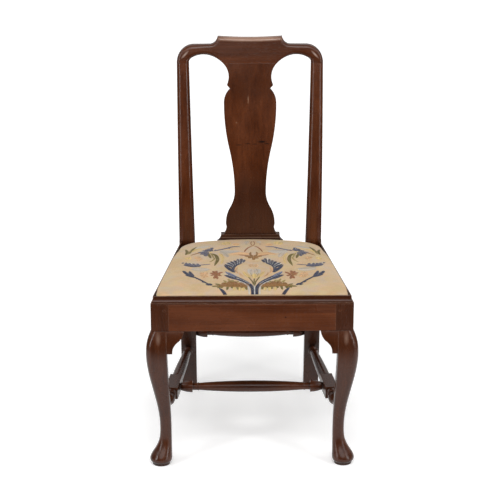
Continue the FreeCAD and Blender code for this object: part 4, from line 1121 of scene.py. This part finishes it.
    def tacks(self) -> None:
        """Drives a row of iron tacks through the cover's turned edge."""
        spots = self.tack_spots()
        tack = self.one_tack()
        head = [vertex.co.copy() for vertex in tack.data.vertices]
        faces = [tuple(face.vertices) for face in tack.data.polygons]
        points, sides = [], []
        height = self.plan.low - self.tack_height / 2 + self.tack_bite
        for spot in spots:
            start = len(points)
            lift = Vector((spot.x, spot.y, height))
            points += [co + lift for co in head]
            sides += [tuple(start + corner for corner in face) for face in faces]
        tack.data.clear_geometry()
        tack.location = (0, 0, 0)
        tack.data.from_pydata(points, [], sides)
        bpy.ops.object.shade_smooth_by_angle(angle=math.radians(35))
        tack.data.materials.append(self.iron())
        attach(tack, SEAT_BODY)
        LOG.info("drove %d tacks", len(spots))

    def over(self, spot: Vector, boxes: list[tuple[Vector, Vector]]) -> bool:
        """Whether a tack's spot lies over one of the boxes, in plan and with its margin."""
        margin = self.tack_radius * self.tack_margin
        return any(
            low.x - margin < spot.x < high.x + margin and low.y - margin < spot.y < high.y + margin
            for low, high in boxes
        )

    @staticmethod
    def iron() -> bpy.types.Material:
        """Blued iron with a little rust."""
        material, nodes = new_material("tack_iron")
        rust = nodes.spread(nodes.noise(nodes.place(), (900, 900, 900), 3), 0.45, 0.65)
        colour = nodes.mix(rust, opaque((0.05, 0.05, 0.055)), opaque((0.12, 0.05, 0.02)))
        rough, metal = nodes.spread(rust, 0, 1, 0.4, 0.8), nodes.spread(rust, 0, 1, 1, 0.2)
        inputs = {"Base Color": colour, "Roughness": rough, "Metallic": metal}
        nodes.surface("BsdfPrincipled", inputs)
        return material


class Wool(Enum):
    """The crewel wools, by their faded colours on screen."""

    NAVY = (54, 57, 77)
    BLUE = (98, 110, 142)
    SLATE = (94, 92, 106)
    PALE_BLUE = (196, 193, 186)
    GREY = (186, 176, 163)
    OLIVE = (112, 98, 44)
    GREEN = (152, 134, 78)
    BROWN = (138, 97, 46)
    RUST = (148, 94, 57)
    PEACH = (207, 166, 122)
    STRAW = (214, 186, 122)


THREAD_PITCH = 1.35
CURVE_POINTS = 12
RING = 4
BARB_SHAPE = (0.5, 0.6, 0.4)
BARB_BEND = 0.2
PETAL_SHAPE = (0.4, 0.6, 0.25)
LOBE_SHAPE = (0.7, 0.4, 0.3)


@dataclass(frozen=True)
class Stroke:
    """One worked shape: threads laid side by side along a curved spine, in millimetres from the axis.

    Attributes:
        wool: Its wool.
        spine: Places that its spine goes through.
        width: Its greatest width.
        root: Its width at the start, as a share of the greatest.
        belly: Where it is widest, as a share of its length.
        tip: Its width at the end, as a share of the greatest.
        pitch: How far apart its threads lie.
    """

    wool: Wool
    spine: tuple[Point, ...]
    width: float
    root: float = 0.5
    belly: float = 0.45
    tip: float = 0.15
    pitch: float = THREAD_PITCH

    def width_at(self, share: float) -> float:
        """The shape's width at a share of the way from root to tip."""
        if share < self.belly:
            ease = math.sin(share / self.belly * math.pi / 2)
            return self.width * (self.root + (1 - self.root) * ease)
        ease = math.cos((share - self.belly) / (1 - self.belly) * math.pi / 2)
        return self.width * (self.tip + (1 - self.tip) * ease)


def smooth(points: tuple[Point, ...], step: float) -> list[Vector]:
    """Runs a smooth line through points.

    Args:
        points: Places the line goes through.
        step: About how far apart the result's points are.

    Returns:
        The line's points.
    """
    knots = [Vector(p) for p in points]
    ends = [knots[0] * 2 - knots[1], *knots, knots[-1] * 2 - knots[-2]]
    fine = []
    for a, b, c, d in zip(ends, ends[1:], ends[2:], ends[3:]):
        curve = interpolate_bezier(b, b + (c - a) / 6, c - (d - b) / 6, c, CURVE_POINTS)
        fine += [Vector(p) for p in curve[:-1]]
    fine.append(knots[-1])
    length = sum((two - one).length for one, two in zip(fine, fine[1:]))
    return evenly(fine, max(3, round(length / step)))


def feather(
    barbs: tuple[tuple[Wool, float], ...], roots: tuple[Point, ...], tips: tuple[Point, ...], count: int
) -> list[Stroke]:
    """Barbs that fan from a line of roots to a line of tips.

    Args:
        barbs: Wools and widths that the barbs take in turn.
        roots: Places the line of roots goes through.
        tips: Places the line of tips goes through.
        count: How many barbs.

    Returns:
        The barbs.
    """
    inner = evenly(smooth(roots, 1), count - 1)
    outer = evenly(smooth(tips, 1), count - 1)
    strokes = []
    for number, (root, tip) in enumerate(zip(inner, outer)):
        wool, width = barbs[number % len(barbs)]
        bend = (root + tip) / 2 + (outer[min(number + 1, count - 1)] - tip) * BARB_BEND
        strokes.append(Stroke(wool, (tuple(root), tuple(bend), tuple(tip)), width, *BARB_SHAPE))
    return strokes


def rosette(
    wool: Wool, centre: Point, tips: tuple[Point, ...], width: float, pitch: float = THREAD_PITCH
) -> list[Stroke]:
    """Petals that run from a centre to their tips.

    Args:
        wool: The petals' wool.
        centre: Where they meet.
        tips: Where they end.
        width: A petal's width.
        pitch: How far apart its threads lie.

    Returns:
        The petals.
    """
    return [Stroke(wool, (centre, tip), width, *PETAL_SHAPE, pitch) for tip in tips]


def lobes(wool: Wool, spines: tuple[tuple[Point, ...], ...], width: float) -> list[Stroke]:
    """Short strokes of one wool and width, as the lobes or spikes of a leaf.

    Args:
        wool: Their wool.
        spines: Their spines.
        width: Their width.

    Returns:
        The strokes.
    """
    return [Stroke(wool, spine, width, *LOBE_SHAPE) for spine in spines]


class Drawing:
    """The seat's flowers and leaves, drawn for the left half and worked on both sides of the axis."""

    tint_pitch = 1.9

    def tint(self, wool: Wool, spine: tuple[Point, ...], width: float) -> Stroke:
        """A faint patch, worked so openly that the linen shows through."""
        return Stroke(wool, spine, width, pitch=self.tint_pitch)

    def lyre(self) -> list[Stroke]:
        """Two blue stems that part from the front and end in lobed leaves, with pale outlines."""
        stem = ((-5, -262), (-5, -225), (-8, -206), (-14, -192), (-24, -178), (-37, -165), (-50, -153))
        strand = ((-8, -200), (-16, -183), (-28, -166), (-40, -151), (-52, -137))
        between = ((-11, -196), (-20, -180), (-32, -165), (-45, -151))
        beside = ((-14, -262), (-14, -222), (-18, -203), (-26, -188), (-37, -175), (-49, -164))
        fringe = (((-44, -158), (-58, -153)), ((-54, -148), (-68, -142)), ((-62, -140), (-77, -132)))
        return [
            Stroke(Wool.PALE_BLUE, beside, 3.4, 0.8, 0.5, 0.5),
            Stroke(Wool.PALE_BLUE, ((0, -262), (0, -203)), 3, 0.9, 0.5, 0.4),
            Stroke(Wool.BLUE, ((-44, -150), (-60, -129), (-75, -105)), 11),
            Stroke(Wool.NAVY, strand, 6.5, 0.6, 0.6, 0.9),
            Stroke(Wool.PALE_BLUE, between, 2.4, 0.8, 0.5, 0.8),
            Stroke(Wool.NAVY, stem, 9.5, 0.75, 0.6, 0.95),
            Stroke(Wool.NAVY, ((-38, -164), (-56, -149), (-76, -128)), 11),
            Stroke(Wool.NAVY, ((-42, -154), (-57, -136), (-70, -115)), 8.5),
            *lobes(Wool.NAVY, fringe, 7.5),
            Stroke(Wool.PALE_BLUE, ((-46, -151), (-62, -133), (-74, -121)), 1.6),
            Stroke(Wool.PALE_BLUE, ((-47, -145), (-60, -126), (-69, -112)), 1.6),
        ]

    def crescent(self) -> list[Stroke]:
        """A feathered crescent that holds the pomegranate."""
        spine = ((-47, -118), (-52, -99), (-53, -82), (-48, -67), (-39, -57), (-29, -48))
        tips = ((-75, -56), (-69, -43), (-58, -33), (-45, -24), (-33, -12), (-22, -23))
        barbs = feather(((Wool.NAVY, 8.6), (Wool.PALE_BLUE, 2.8)), spine[2:], tips, 13)
        outer = Stroke(Wool.NAVY, ((-49, -116), (-64, -87), (-78, -58)), 10.5)
        return [*barbs, outer, Stroke(Wool.NAVY, spine, 9.5, 0.5, 0.5, 0.5)]

    def pomegranate(self) -> list[Stroke]:
        """A pale fruit with petals, a yellow heart and thin stems."""
        return [
            Stroke(Wool.GREY, ((-3, -134), (-8, -112), (-4, -88)), 17, 0.5, 0.5, 0.3, self.tint_pitch),
            Stroke(Wool.PEACH, ((-3, -80), (-7, -66), (-4, -54)), 13, 0.5, 0.5, 0.3, 2.4),
            Stroke(Wool.PEACH, ((-41, -124), (-46, -98), (-40, -72)), 8),
            self.tint(Wool.STRAW, ((-8, -152), (-20, -128), (-27, -104)), 9),
            Stroke(Wool.PEACH, ((-24, -146), (-34, -128), (-36, -108)), 6),
            Stroke(Wool.PALE_BLUE, ((-8, -124), (-13, -108), (-12, -90)), 7),
            Stroke(Wool.STRAW, ((0, -158), (0, -116)), 11),
            Stroke(Wool.GREEN, ((-3, -150), (-9, -130), (-12, -116)), 2.4),
            Stroke(Wool.OLIVE, ((-1, -200), (-4, -178), (-11, -154), (-17, -138)), 3.4, 0.9, 0.5, 0.5),
            Stroke(Wool.OLIVE, ((0, -205), (0, -180), (0, -156)), 3, 0.9, 0.5, 0.6),
        ]

    def oak_leaf(self) -> list[Stroke]:
        """A brown and green lobed leaf along the front."""
        rib = ((-9, -207), (-38, -201), (-68, -198), (-96, -203))
        upper = (((-18, -204), (-21, -187)), ((-33, -201), (-34, -179)), ((-47, -199), (-48, -172)),
                 ((-60, -198), (-64, -171)), ((-72, -198), (-79, -180)))
        light = (((-50, -181), (-54, -163)), ((-60, -178), (-68, -154)), ((-69, -183), (-79, -164)),
                 ((-38, -184), (-42, -170)), ((-56, -182), (-60, -166)))
        pale = (((-28, -210), (-26, -231)), ((-39, -209), (-37, -233)), ((-51, -208), (-50, -230)))
        side = (((-82, -199), (-99, -189)), ((-86, -203), (-107, -205)), ((-78, -205), (-95, -214)))
        lower = (((-22, -206), (-17, -227)), ((-33, -205), (-30, -219)), ((-44, -204), (-41, -226)),
                 ((-56, -203), (-56, -220)), ((-66, -203), (-69, -228)), ((-76, -204), (-82, -217)))
        return [
            *lobes(Wool.STRAW, pale, 8),
            *lobes(Wool.GREEN, light, 6),
            *lobes(Wool.OLIVE, lower, 6.5),
            *lobes(Wool.OLIVE, side, 8),
            *lobes(Wool.BROWN, upper, 15),
            Stroke(Wool.BROWN, rib, 20, 0.6, 0.5, 0.35),
            Stroke(Wool.RUST, ((-20, -199), (-44, -190), (-62, -187)), 4),
        ]

    def side_flowers(self) -> list[Stroke]:
        """A rust flower, a peach flower beside it and a blue bit at the front edge."""
        rust = (
            (-105, -101), (-94, -98), (-77, -110), (-84, -124), (-80, -141),
            (-90, -161), (-102, -159), (-112, -133), (-113, -113),
        )
        peach = ((-136, -113), (-123, -105), (-114, -117), (-138, -133), (-128, -149), (-115, -146))
        return [
            *rosette(Wool.PEACH, (-124, -128), peach, 11, 1.6),
            *rosette(Wool.RUST, (-96, -129), rust, 7.5),
            Stroke(Wool.BROWN, ((-98, -117), (-95, -142)), 5),
            Stroke(Wool.NAVY, ((-67, -260), (-72, -246), (-80, -226), (-89, -209)), 9, 0.9),
        ]

    def branch(self) -> list[Stroke]:
        """A blue branch towards the seat's side."""
        stem = ((-105, -201), (-118, -185), (-132, -165), (-146, -147), (-158, -130))
        twigs = (((-108, -198), (-122, -190)), ((-105, -201), (-113, -184)), ((-120, -180), (-132, -173)))
        return [
            Stroke(Wool.NAVY, ((-150, -139), (-159, -117), (-164, -97)), 9),
            Stroke(Wool.NAVY, ((-146, -146), (-162, -134), (-177, -121)), 8.5),
            Stroke(Wool.NAVY, ((-152, -136), (-170, -115), (-181, -92)), 10.5),
            Stroke(Wool.PALE_BLUE, ((-158, -128), (-168, -111), (-173, -98)), 2),
            Stroke(Wool.NAVY, stem, 5.6, 0.8, 0.5, 0.8),
            *lobes(Wool.NAVY, twigs, 6.8),
        ]

    def side_leaf(self) -> list[Stroke]:
        """A combed blue leaf on a thin stem, with its shade below."""
        rib = ((-138, -59), (-158, -56), (-179, -45))
        tips = ((-146, -47), (-162, -42), (-181, -33))
        return [
            Stroke(Wool.GREY, ((-160, -82), (-132, -92), (-106, -90)), 26, pitch=2.8),
            *feather(((Wool.SLATE, 6.5), (Wool.PALE_BLUE, 2)), rib, tips, 9),
            Stroke(Wool.SLATE, ((-132, -62), (-156, -62), (-180, -47)), 15, 0.4, 0.5, 0.4),
            Stroke(Wool.NAVY, ((-132, -67), (-156, -68), (-181, -54)), 8),
            Stroke(Wool.SLATE, ((-108, -55), (-124, -59), (-140, -61)), 4.2, 0.7, 0.5, 0.8),
        ]

    def curls(self) -> list[Stroke]:
        """Olive curls and pale buds at the side."""
        bud = ((-151, 2), (-141, 6), (-133, -8), (-140, -31))
        outer_bud = ((-177, 4), (-165, 8), (-159, -8), (-170, -27))
        return [
            self.tint(Wool.STRAW, ((-92, 28), (-83, 6), (-79, -24), (-85, -64)), 8),
            self.tint(Wool.STRAW, ((-126, 34), (-104, 33)), 8),
            Stroke(Wool.OLIVE, ((-110, 27), (-97, 10), (-92, -20), (-96, -48), (-102, -74)), 9.5),
            Stroke(Wool.OLIVE, ((-119, 28), (-113, 4), (-109, -17)), 7.5),
            Stroke(Wool.GREEN, ((-112, 30), (-105, 10), (-102, -16)), 5),
            Stroke(Wool.GREEN, ((-98, -2), (-104, -26), (-116, -44)), 4),
            *rosette(Wool.PEACH, (-142, -17), bud, 10, self.tint_pitch),
            *rosette(Wool.STRAW, (-168, -14), outer_bud, 10, self.tint_pitch),
        ]

    def upper_spray(self) -> list[Stroke]:
        """A blue spray on a long stem, with a brown tip and green sprigs behind it."""
        eye = (-116, 40)
        tips = ((-106, 75), (-117, 67), (-134, 53), (-147, 34), (-139, 17), (-126, -1), (-104, 58))
        dark = ((-105, 56), (-125, 61), (-141, 34), (-131, 10))
        pale = (((-113, 48), (-112, 66)), ((-122, 46), (-136, 42)), ((-121, 30), (-127, 14)))
        barbs = (((-84, 57), (-91, 43)), ((-96, 55), (-101, 40)), ((-66, 67), (-59, 57)))
        return [
            self.tint(Wool.GREY, ((-90, 44), (-64, 34), (-32, 38)), 24),
            self.tint(Wool.GREY, ((-78, 30), (-71, 12), (-66, -8)), 14),
            self.tint(Wool.GREY, ((-152, 72), (-128, 80), (-108, 84)), 14),
            *rosette(Wool.SLATE, eye, tips, 10.5),
            *rosette(Wool.NAVY, eye, dark, 7),
            *lobes(Wool.PALE_BLUE, pale, 2),
            Stroke(Wool.SLATE, ((-30, 72), (-52, 73), (-69, 62), (-86, 52), (-108, 43)), 6.4, 0.5, 0.4, 0.8),
            *lobes(Wool.SLATE, barbs, 4),
            Stroke(Wool.BROWN, ((-136, 33), (-150, 24), (-164, 13)), 4.8),
            Stroke(Wool.OLIVE, ((-174, 23), (-171, 50), (-177, 78)), 8),
            Stroke(Wool.GREEN, ((-170, 26), (-164, 46), (-161, 66)), 6.5),
            Stroke(Wool.OLIVE, ((-166, 30), (-158, 64), (-144, 96)), 7.5),
            self.tint(Wool.STRAW, ((-160, 40), (-148, 62), (-130, 74)), 9),
        ]

    def crown_flower(self) -> list[Stroke]:
        """The rust flower on the axis, with its loop, arms and star."""
        return [
            self.tint(Wool.STRAW, ((-66, 90), (-71, 124)), 26),
            self.tint(Wool.PEACH, ((-36, 84), (-54, 99)), 18),
            self.tint(Wool.GREY, ((-14, 122), (-20, 100)), 14),
            Stroke(Wool.PEACH, ((-8, 14), (-36, 20), (-64, 14)), 20, pitch=1.7),
            Stroke(Wool.RUST, ((-10, 3), (-28, 6), (-44, 13)), 3.4),
            Stroke(Wool.SLATE, ((-18, 88), (-18, 97)), 6, pitch=1.7),
            Stroke(Wool.RUST, ((0, 78), (-4, 92), (-4, 106), (-1, 117)), 2.8, 0.9, 0.5, 0.9),
            Stroke(Wool.RUST, ((-1, 79), (-12, 65), (-19, 48), (-24, 27)), 4.4, 0.8, 0.5, 0.5),
            Stroke(Wool.BROWN, ((-6, 0), (-9, 18), (-6, 35)), 6),
            *rosette(Wool.BROWN, (0, -4), ((-25, 2), (-14, -17), (0, -28), (-9, 10)), 9.5),
        ]

    def left_half(self) -> list[Stroke]:
        """Every stroke of the left half, in the order of working."""
        return [
            *self.upper_spray(),
            *self.crown_flower(),
            *self.curls(),
            *self.side_leaf(),
            *self.pomegranate(),
            *self.side_flowers(),
            *self.branch(),
            *self.oak_leaf(),
            *self.crescent(),
            *self.lyre(),
        ]


@dataclass
class Crewelwork:
    """The embroidery: each thread of wool is a small closed tube that follows the pad.

    Attributes:
        axis: Where the drawing's axis lies across the seat.
        thread_width: Width of a thread.
        rise: How far a thread stands out of the linen.
        sink: How far it lies in the linen.
        stitch: Length of a stitch.
        pinch: A thread's size between two stitches, as a share.
        end_pinch: Its size at both ends, as a share.
        crest: Width of its top, as a share of its foot's.
        wander: How far a stroke strays from the drawing.
        late_start: The most of a thread that is missing at its start, as a share.
        early_end: The most that is missing at its end.
        taper: How much sooner the outer threads end.
        uncut_below: Strokes with fewer threads keep their full length.
        fading: How dark and how light a wool gets from thread to thread.
        bleach: What fading adds to its colour.
        front_roll: Places along the seat between which the threads turn over the front edge.
        edge_height: Height that the threads are aimed at.
        lowest: Height below which no thread is laid.
        reach: How far off the aim starts, in metres.
        seed: Seed of the random draws.
    """

    axis: float = 6.0
    thread_width: float = 1.65
    rise: float = 0.55
    sink: float = 0.3
    stitch: float = 2.2
    pinch: float = 0.78
    end_pinch: float = 0.55
    crest: float = 0.55
    wander: float = 1.2
    late_start: float = 0.08
    early_end: float = 0.1
    taper: float = 0.25
    uncut_below: int = 3
    fading: tuple[float, float] = (0.75, 1.25)
    bleach: float = 0.01
    front_roll: Point = (-237, -243)
    edge_height: float = 468.0
    lowest: float = 463.2
    reach: float = 0.1
    seed: int = 1745

    def build(self, pad: bpy.types.Object) -> None:
        """Works the drawing on the pad, one piece for each wool.

        Args:
            pad: The seat's pad.
        """
        self.draw = random.Random(self.seed)
        ground = BVHTree.FromObject(pad, bpy.context.evaluated_depsgraph_get())
        threads: dict[Wool, list[list[Vector]]] = {wool: [] for wool in Wool}
        for stroke in Drawing().left_half():
            for side in (1, -1):
                threads[stroke.wool] += self.lay(stroke, side)
        for wool, lines in threads.items():
            self.work(wool, lines, ground)

    def lay(self, stroke: Stroke, side: int) -> list[list[Vector]]:
        """Divides a stroke into threads.

        Args:
            stroke: The stroke.
            side: 1 for the left half as drawn, -1 for its mirror.

        Returns:
            The threads' lines, in the seat's millimetres.
        """
        drift = Vector((self.draw.uniform(-1, 1), self.draw.uniform(-1, 1))) * self.wander
        spine = [Vector((self.axis + p.x * side, p.y)) + drift for p in smooth(stroke.spine, self.stitch)]
        count = max(1, round(stroke.width / stroke.pitch))
        lines = []
        for number in range(count):
            share = (number + 0.5) / count - 0.5
            start = self.draw.uniform(0, self.late_start)
            end = 1 - self.draw.uniform(0, self.early_end) - abs(share) * self.taper * (1 - stroke.tip)
            line = []
            for index, place in enumerate(spine):
                along = index / (len(spine) - 1)
                if count < self.uncut_below or start <= along <= end:
                    before, after = spine[max(0, index - 1)], spine[min(len(spine) - 1, index + 1)]
                    run = (after - before).normalized()
                    line.append(place + Vector((-run.y, run.x)) * share * stroke.width_at(along))
            if len(line) > 1:
                lines.append(line)
        return lines

    def work(self, wool: Wool, lines: list[list[Vector]], ground: BVHTree) -> None:
        """Makes one wool's threads as a piece.

        Args:
            wool: The wool.
            lines: Its threads' lines.
            ground: The pad's surface.
        """
        points, faces, shades = [], [], []
        for line in lines:
            shade = self.draw.uniform(0, 1)
            self.thread(line, ground, points, faces)
            shades += [shade] * (len(points) - len(shades))
        mesh = bpy.data.meshes.new("crewel_" + wool.name.lower())
        mesh.from_pydata(points, [], faces)
        tone = mesh.attributes.new("tone", "FLOAT", "POINT")
        tone.data.foreach_set("value", shades)
        piece = bpy.data.objects.new(mesh.name, mesh)
        bpy.context.scene.collection.objects.link(piece)
        pick(piece)
        bpy.ops.object.shade_smooth()
        mesh.materials.append(self.finish(wool))
        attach(piece, SEAT_BODY)
        LOG.info("worked %s, %d threads, %d faces", piece.name, len(lines), len(faces))

    def thread(
        self, line: list[Vector], ground: BVHTree, points: list[Vector], faces: list[tuple[int, ...]]
    ) -> None:
        """Adds one thread's tube as far as the pad goes, pinched at each stitch and closed at both ends.

        Args:
            line: The thread's line.
            ground: The pad's surface.
            points: The piece's points, which it adds to.
            faces: The piece's faces, which it adds to.
        """
        rings = []
        for index, place in enumerate(line):
            before, after = line[max(0, index - 1)], line[min(len(line) - 1, index + 1)]
            run = (after - before).normalized()
            side = Vector((-run.y, run.x, 0))
            way = Vector((0, ease(place.y, *self.front_roll), -1))
            start = Vector((place.x, place.y, self.edge_height)) * MM - way * self.reach
            hit, out, *_ = ground.ray_cast(start, way)
            if hit is None or hit.z < self.lowest * MM:
                continue
            size = self.pinch if index % 2 else 1
            size *= self.end_pinch if index in (0, len(line) - 1) else 1
            half = side * self.thread_width / 2 * size * MM
            high = out * self.rise * size * MM
            low = out * -self.sink * MM
            crest = half * self.crest
            rings.append((hit - half + low, hit - crest + high, hit + crest + high, hit + half + low))
        if len(rings) < 2:
            return
        first = len(points)
        for ring in rings:
            points.extend(ring)
        last = len(points) - RING
        for start in range(first, last, RING):
            on = start + RING
            for corner in range(RING):
                beside = (corner + 1) % RING
                faces.append((start + corner, start + beside, on + beside, on + corner))
        faces.append(tuple(reversed(range(first, first + RING))))
        faces.append(tuple(range(last, last + RING)))

    def finish(self, wool: Wool) -> bpy.types.Material:
        """Twisted wool of one colour, lighter and darker from thread to thread."""
        material, nodes = new_material("wool_" + wool.name.lower())
        tone = nodes.add("Attribute", attribute_name="tone").outputs["Fac"]
        base = linear(*wool.value)
        darker, lighter = self.fading
        faded = tuple(min(1, part * lighter + self.bleach) for part in base)
        deep = tuple(part * darker for part in base)
        colour = nodes.mix(tone, opaque(deep), opaque(faded))
        fuzz = nodes.noise(nodes.place(), (2600, 2600, 2600), 2)
        mottle = nodes.spread(fuzz, 0.3, 0.7, 0.35, 0)
        mottled = nodes.mix(mottle, colour, opaque((0.5, 0.5, 0.5)), "MULTIPLY")
        bump = nodes.add("Bump", {"Height": fuzz, "Distance": 0.0002, "Strength": 0.6})
        inputs = {"Base Color": mottled, "Roughness": 0.85, "Normal": bump.outputs[0]}
        inputs.update({"Specular IOR Level": 0.25, "Sheen Weight": 0.2, "Sheen Roughness": 0.4})
        nodes.surface("BsdfPrincipled", inputs)
        return material


@dataclass(frozen=True)
class Softbox:
    """A lamp with a flat, even face.

    Attributes:
        name: Its name.
        place: Where it hangs.
        aim: What it is turned to.
        width: Width of its face.
        height: Height of its face.
        watts: Its power.
    """

    name: str
    place: Place
    aim: Place
    width: float
    height: float
    watts: float

    def build(self) -> None:
        """Adds the lamp, turned to its aim."""
        way = Vector(self.aim) - Vector(self.place)
        fresh_start()
        turn = way.to_track_quat("-Z", "Y").to_euler()
        bpy.ops.object.light_add(type="AREA", location=self.place, rotation=turn)
        lamp = bpy.context.object
        lamp.name = self.name
        lamp.data.shape = "RECTANGLE"
        lamp.data.size = self.width
        lamp.data.size_y = self.height
        lamp.data.energy = self.watts


@dataclass(frozen=True)
class Ceiling:
    """A wide, even light from above, as from a lit ceiling, that reaches the whole floor alike.

    Attributes:
        lean: How far it leans to the front, in degrees.
        spread: How wide it is, in degrees.
        strength: Its strength.
        place: Where its lamp hangs.
    """

    lean: float
    spread: float
    strength: float
    place: Place = (0.0, 0.0, 4.0)

    def build(self) -> None:
        """Adds the light, leaning towards the front by its own angle."""
        fresh_start()
        turn = (math.radians(self.lean), 0, 0)
        bpy.ops.object.light_add(type="SUN", location=self.place, rotation=turn)
        lamp = bpy.context.object
        lamp.name = "ceiling"
        lamp.data.angle = math.radians(self.spread)
        lamp.data.energy = self.strength


@dataclass
class Studio:
    """Plain white studio: floor, soft lamps, a dim front, and the camera at the photograph's angle.

    Attributes:
        floor_size: Side of the floor.
        floor_bounce: How light the floor is to the chair.
        floor_white: How light it is to the camera.
        near_lift: How much it glows near the chair.
        far_lift: How much it glows far away.
        lift_reach: Distances between which the glow changes.
        paper_depth: Where the floor turns white in reflections, in front and behind.
        paper_side: Where it does so at both sides.
        front_light: How light the room is in front.
        back_light: How light it is behind.
        back_slope: How far height counts as behind.
        back_reach: Shares between which the room gets lighter.
        ceiling: The light from above.
        lens: The camera's focal length.
        azimuth: Its turn round the chair, in degrees.
        elevation: Its angle above the floor, in degrees.
        distance: Its distance from the target.
        target: What it looks at.
        shift: How far the picture is shifted.
        far_clip: How far it sees.
        lamps: The soft lamps.
    """

    floor_size: float = 80.0
    floor_bounce: float = 0.35
    floor_white: float = 0.9
    near_lift: float = 0.31
    far_lift: float = 0.6
    lift_reach: Point = (0.7, 2.0)
    paper_depth: tuple[Point, Point] = ((-1.2, -0.7), (1.3, 0.8))
    paper_side: Point = (1.5, 1.0)
    front_light: float = 0.04
    back_light: float = 0.55
    back_slope: float = 0.6
    back_reach: Point = (0.1, 0.9)
    ceiling: Ceiling = Ceiling(lean=40, spread=46, strength=1.1)
    lens: float = 127.0
    azimuth: float = -0.70
    elevation: float = 21.02
    distance: float = 4.5027
    target: Place = (0.0, -0.0596, 0.4642)
    shift: Point = (-0.0026, 0.0354)
    far_clip: float = 200.0
    lamps: tuple[Softbox, ...] = (
        Softbox("left_strip", (-2.1, -1.6, 1.05), (0.0, 0.0, 0.6), 0.4, 1.8, 21),
        Softbox("right_strip", (2.1, -1.6, 1.05), (0.0, 0.0, 0.6), 0.4, 1.8, 21),
        Softbox("left_high", (-2.0, -0.5, 2.3), (0.0, 0.2, 0.9), 1.2, 1.2, 17),
        Softbox("right_high", (2.0, -0.5, 2.3), (0.0, 0.2, 0.9), 1.2, 1.2, 17),
        Softbox("front_high", (0.0, -1.2, 2.65), (0.0, 0.0, 0.5), 0.5, 0.5, 10),
    )

    def build(self) -> None:
        """Sets up the floor, the light and the camera."""
        bpy.context.scene.view_settings.view_transform = "Standard"
        self.floor()
        self.surroundings()
        self.ceiling.build()
        for lamp in self.lamps:
            lamp.build()
        self.camera()

    def floor(self) -> None:
        """Lays the white floor, which keeps the shadow and looks dim in reflections from the front."""
        fresh_start()
        bpy.ops.mesh.primitive_plane_add(size=self.floor_size)
        floor = bpy.context.object
        floor.name = "floor"
        material, nodes = new_material("white_floor")
        rays = nodes.add("LightPath").outputs
        place = nodes.add("SeparateXYZ", {0: nodes.place()}).outputs
        aside = nodes.spread(nodes.math("ABSOLUTE", place[0]), *self.paper_side)
        front, back = (nodes.spread(place[1], *edge) for edge in self.paper_depth)
        paper = nodes.math("MULTIPLY", nodes.math("MULTIPLY", front, back), aside)
        mirrored = nodes.math("MULTIPLY", rays["Is Glossy Ray"], paper)
        straight = nodes.math("MAXIMUM", rays["Is Camera Ray"], rays["Is Transmission Ray"])
        seen = nodes.math("MAXIMUM", straight, mirrored)
        dim = nodes.math("SUBTRACT", rays["Is Glossy Ray"], mirrored)
        colour = nodes.mix(seen, opaque((self.floor_bounce,) * 3), opaque((self.floor_white,) * 3))
        colour = nodes.mix(dim, colour, opaque((self.front_light,) * 3))
        matt = nodes.add("BsdfDiffuse", {"Color": colour})
        reach = nodes.add("VectorMath", {0: nodes.place()}, operation="LENGTH").outputs["Value"]
        glow = nodes.spread(reach, *self.lift_reach, self.near_lift, self.far_lift)
        lift = nodes.add("Emission", {"Strength": nodes.math("MULTIPLY", seen, glow)})
        nodes.surface("AddShader", {0: matt.outputs[0], 1: lift.outputs[0]})
        floor.data.materials.append(material)

    def surroundings(self) -> None:
        """Makes the room dim in front of the chair and beside it, bright behind it and white to the eye."""
        world = bpy.data.worlds.new("studio")
        world.use_nodes = True
        bpy.context.scene.world = world
        nodes = Nodes(world.node_tree)
        way = nodes.add("SeparateXYZ", {0: nodes.add("TexCoord").outputs["Generated"]})
        behind = nodes.math("ADD", way.outputs[1], nodes.math("MULTIPLY", way.outputs[2], self.back_slope))
        lit = nodes.spread(behind, *self.back_reach, self.front_light, self.back_light)
        strength = nodes.math("MAXIMUM", lit, nodes.add("LightPath").outputs["Is Camera Ray"])
        light = nodes.add("Background", {"Color": opaque((1, 1, 1)), "Strength": strength})
        nodes.add("OutputWorld", {"Surface": light.outputs[0]})

    def camera(self) -> None:
        """Places the camera."""
        turn, lift = math.radians(self.azimuth), math.radians(self.elevation)
        back = Vector((math.sin(turn) * math.cos(lift), -math.cos(turn) * math.cos(lift), math.sin(lift)))
        fresh_start()
        place = Vector(self.target) + back * self.distance
        bpy.ops.object.camera_add(location=place, rotation=(-back).to_track_quat("-Z", "Y").to_euler())
        camera = bpy.context.object
        camera.data.lens = self.lens
        camera.data.shift_x, camera.data.shift_y = self.shift
        camera.data.clip_end = self.far_clip
        bpy.context.scene.camera = camera


def main() -> None:
    """Builds the chair's looks in order."""
    logging.basicConfig(level=logging.INFO, format="%(message)s")
    effects = Effects()
    Studio().build()
    ChairFrame().dress(effects)
    plan = SeatPlan()
    pad = SeatPad(plan).build(effects)
    SeatBase(plan).build(effects)
    Crewelwork().build(pad)


if __name__ == "__main__":
    main()
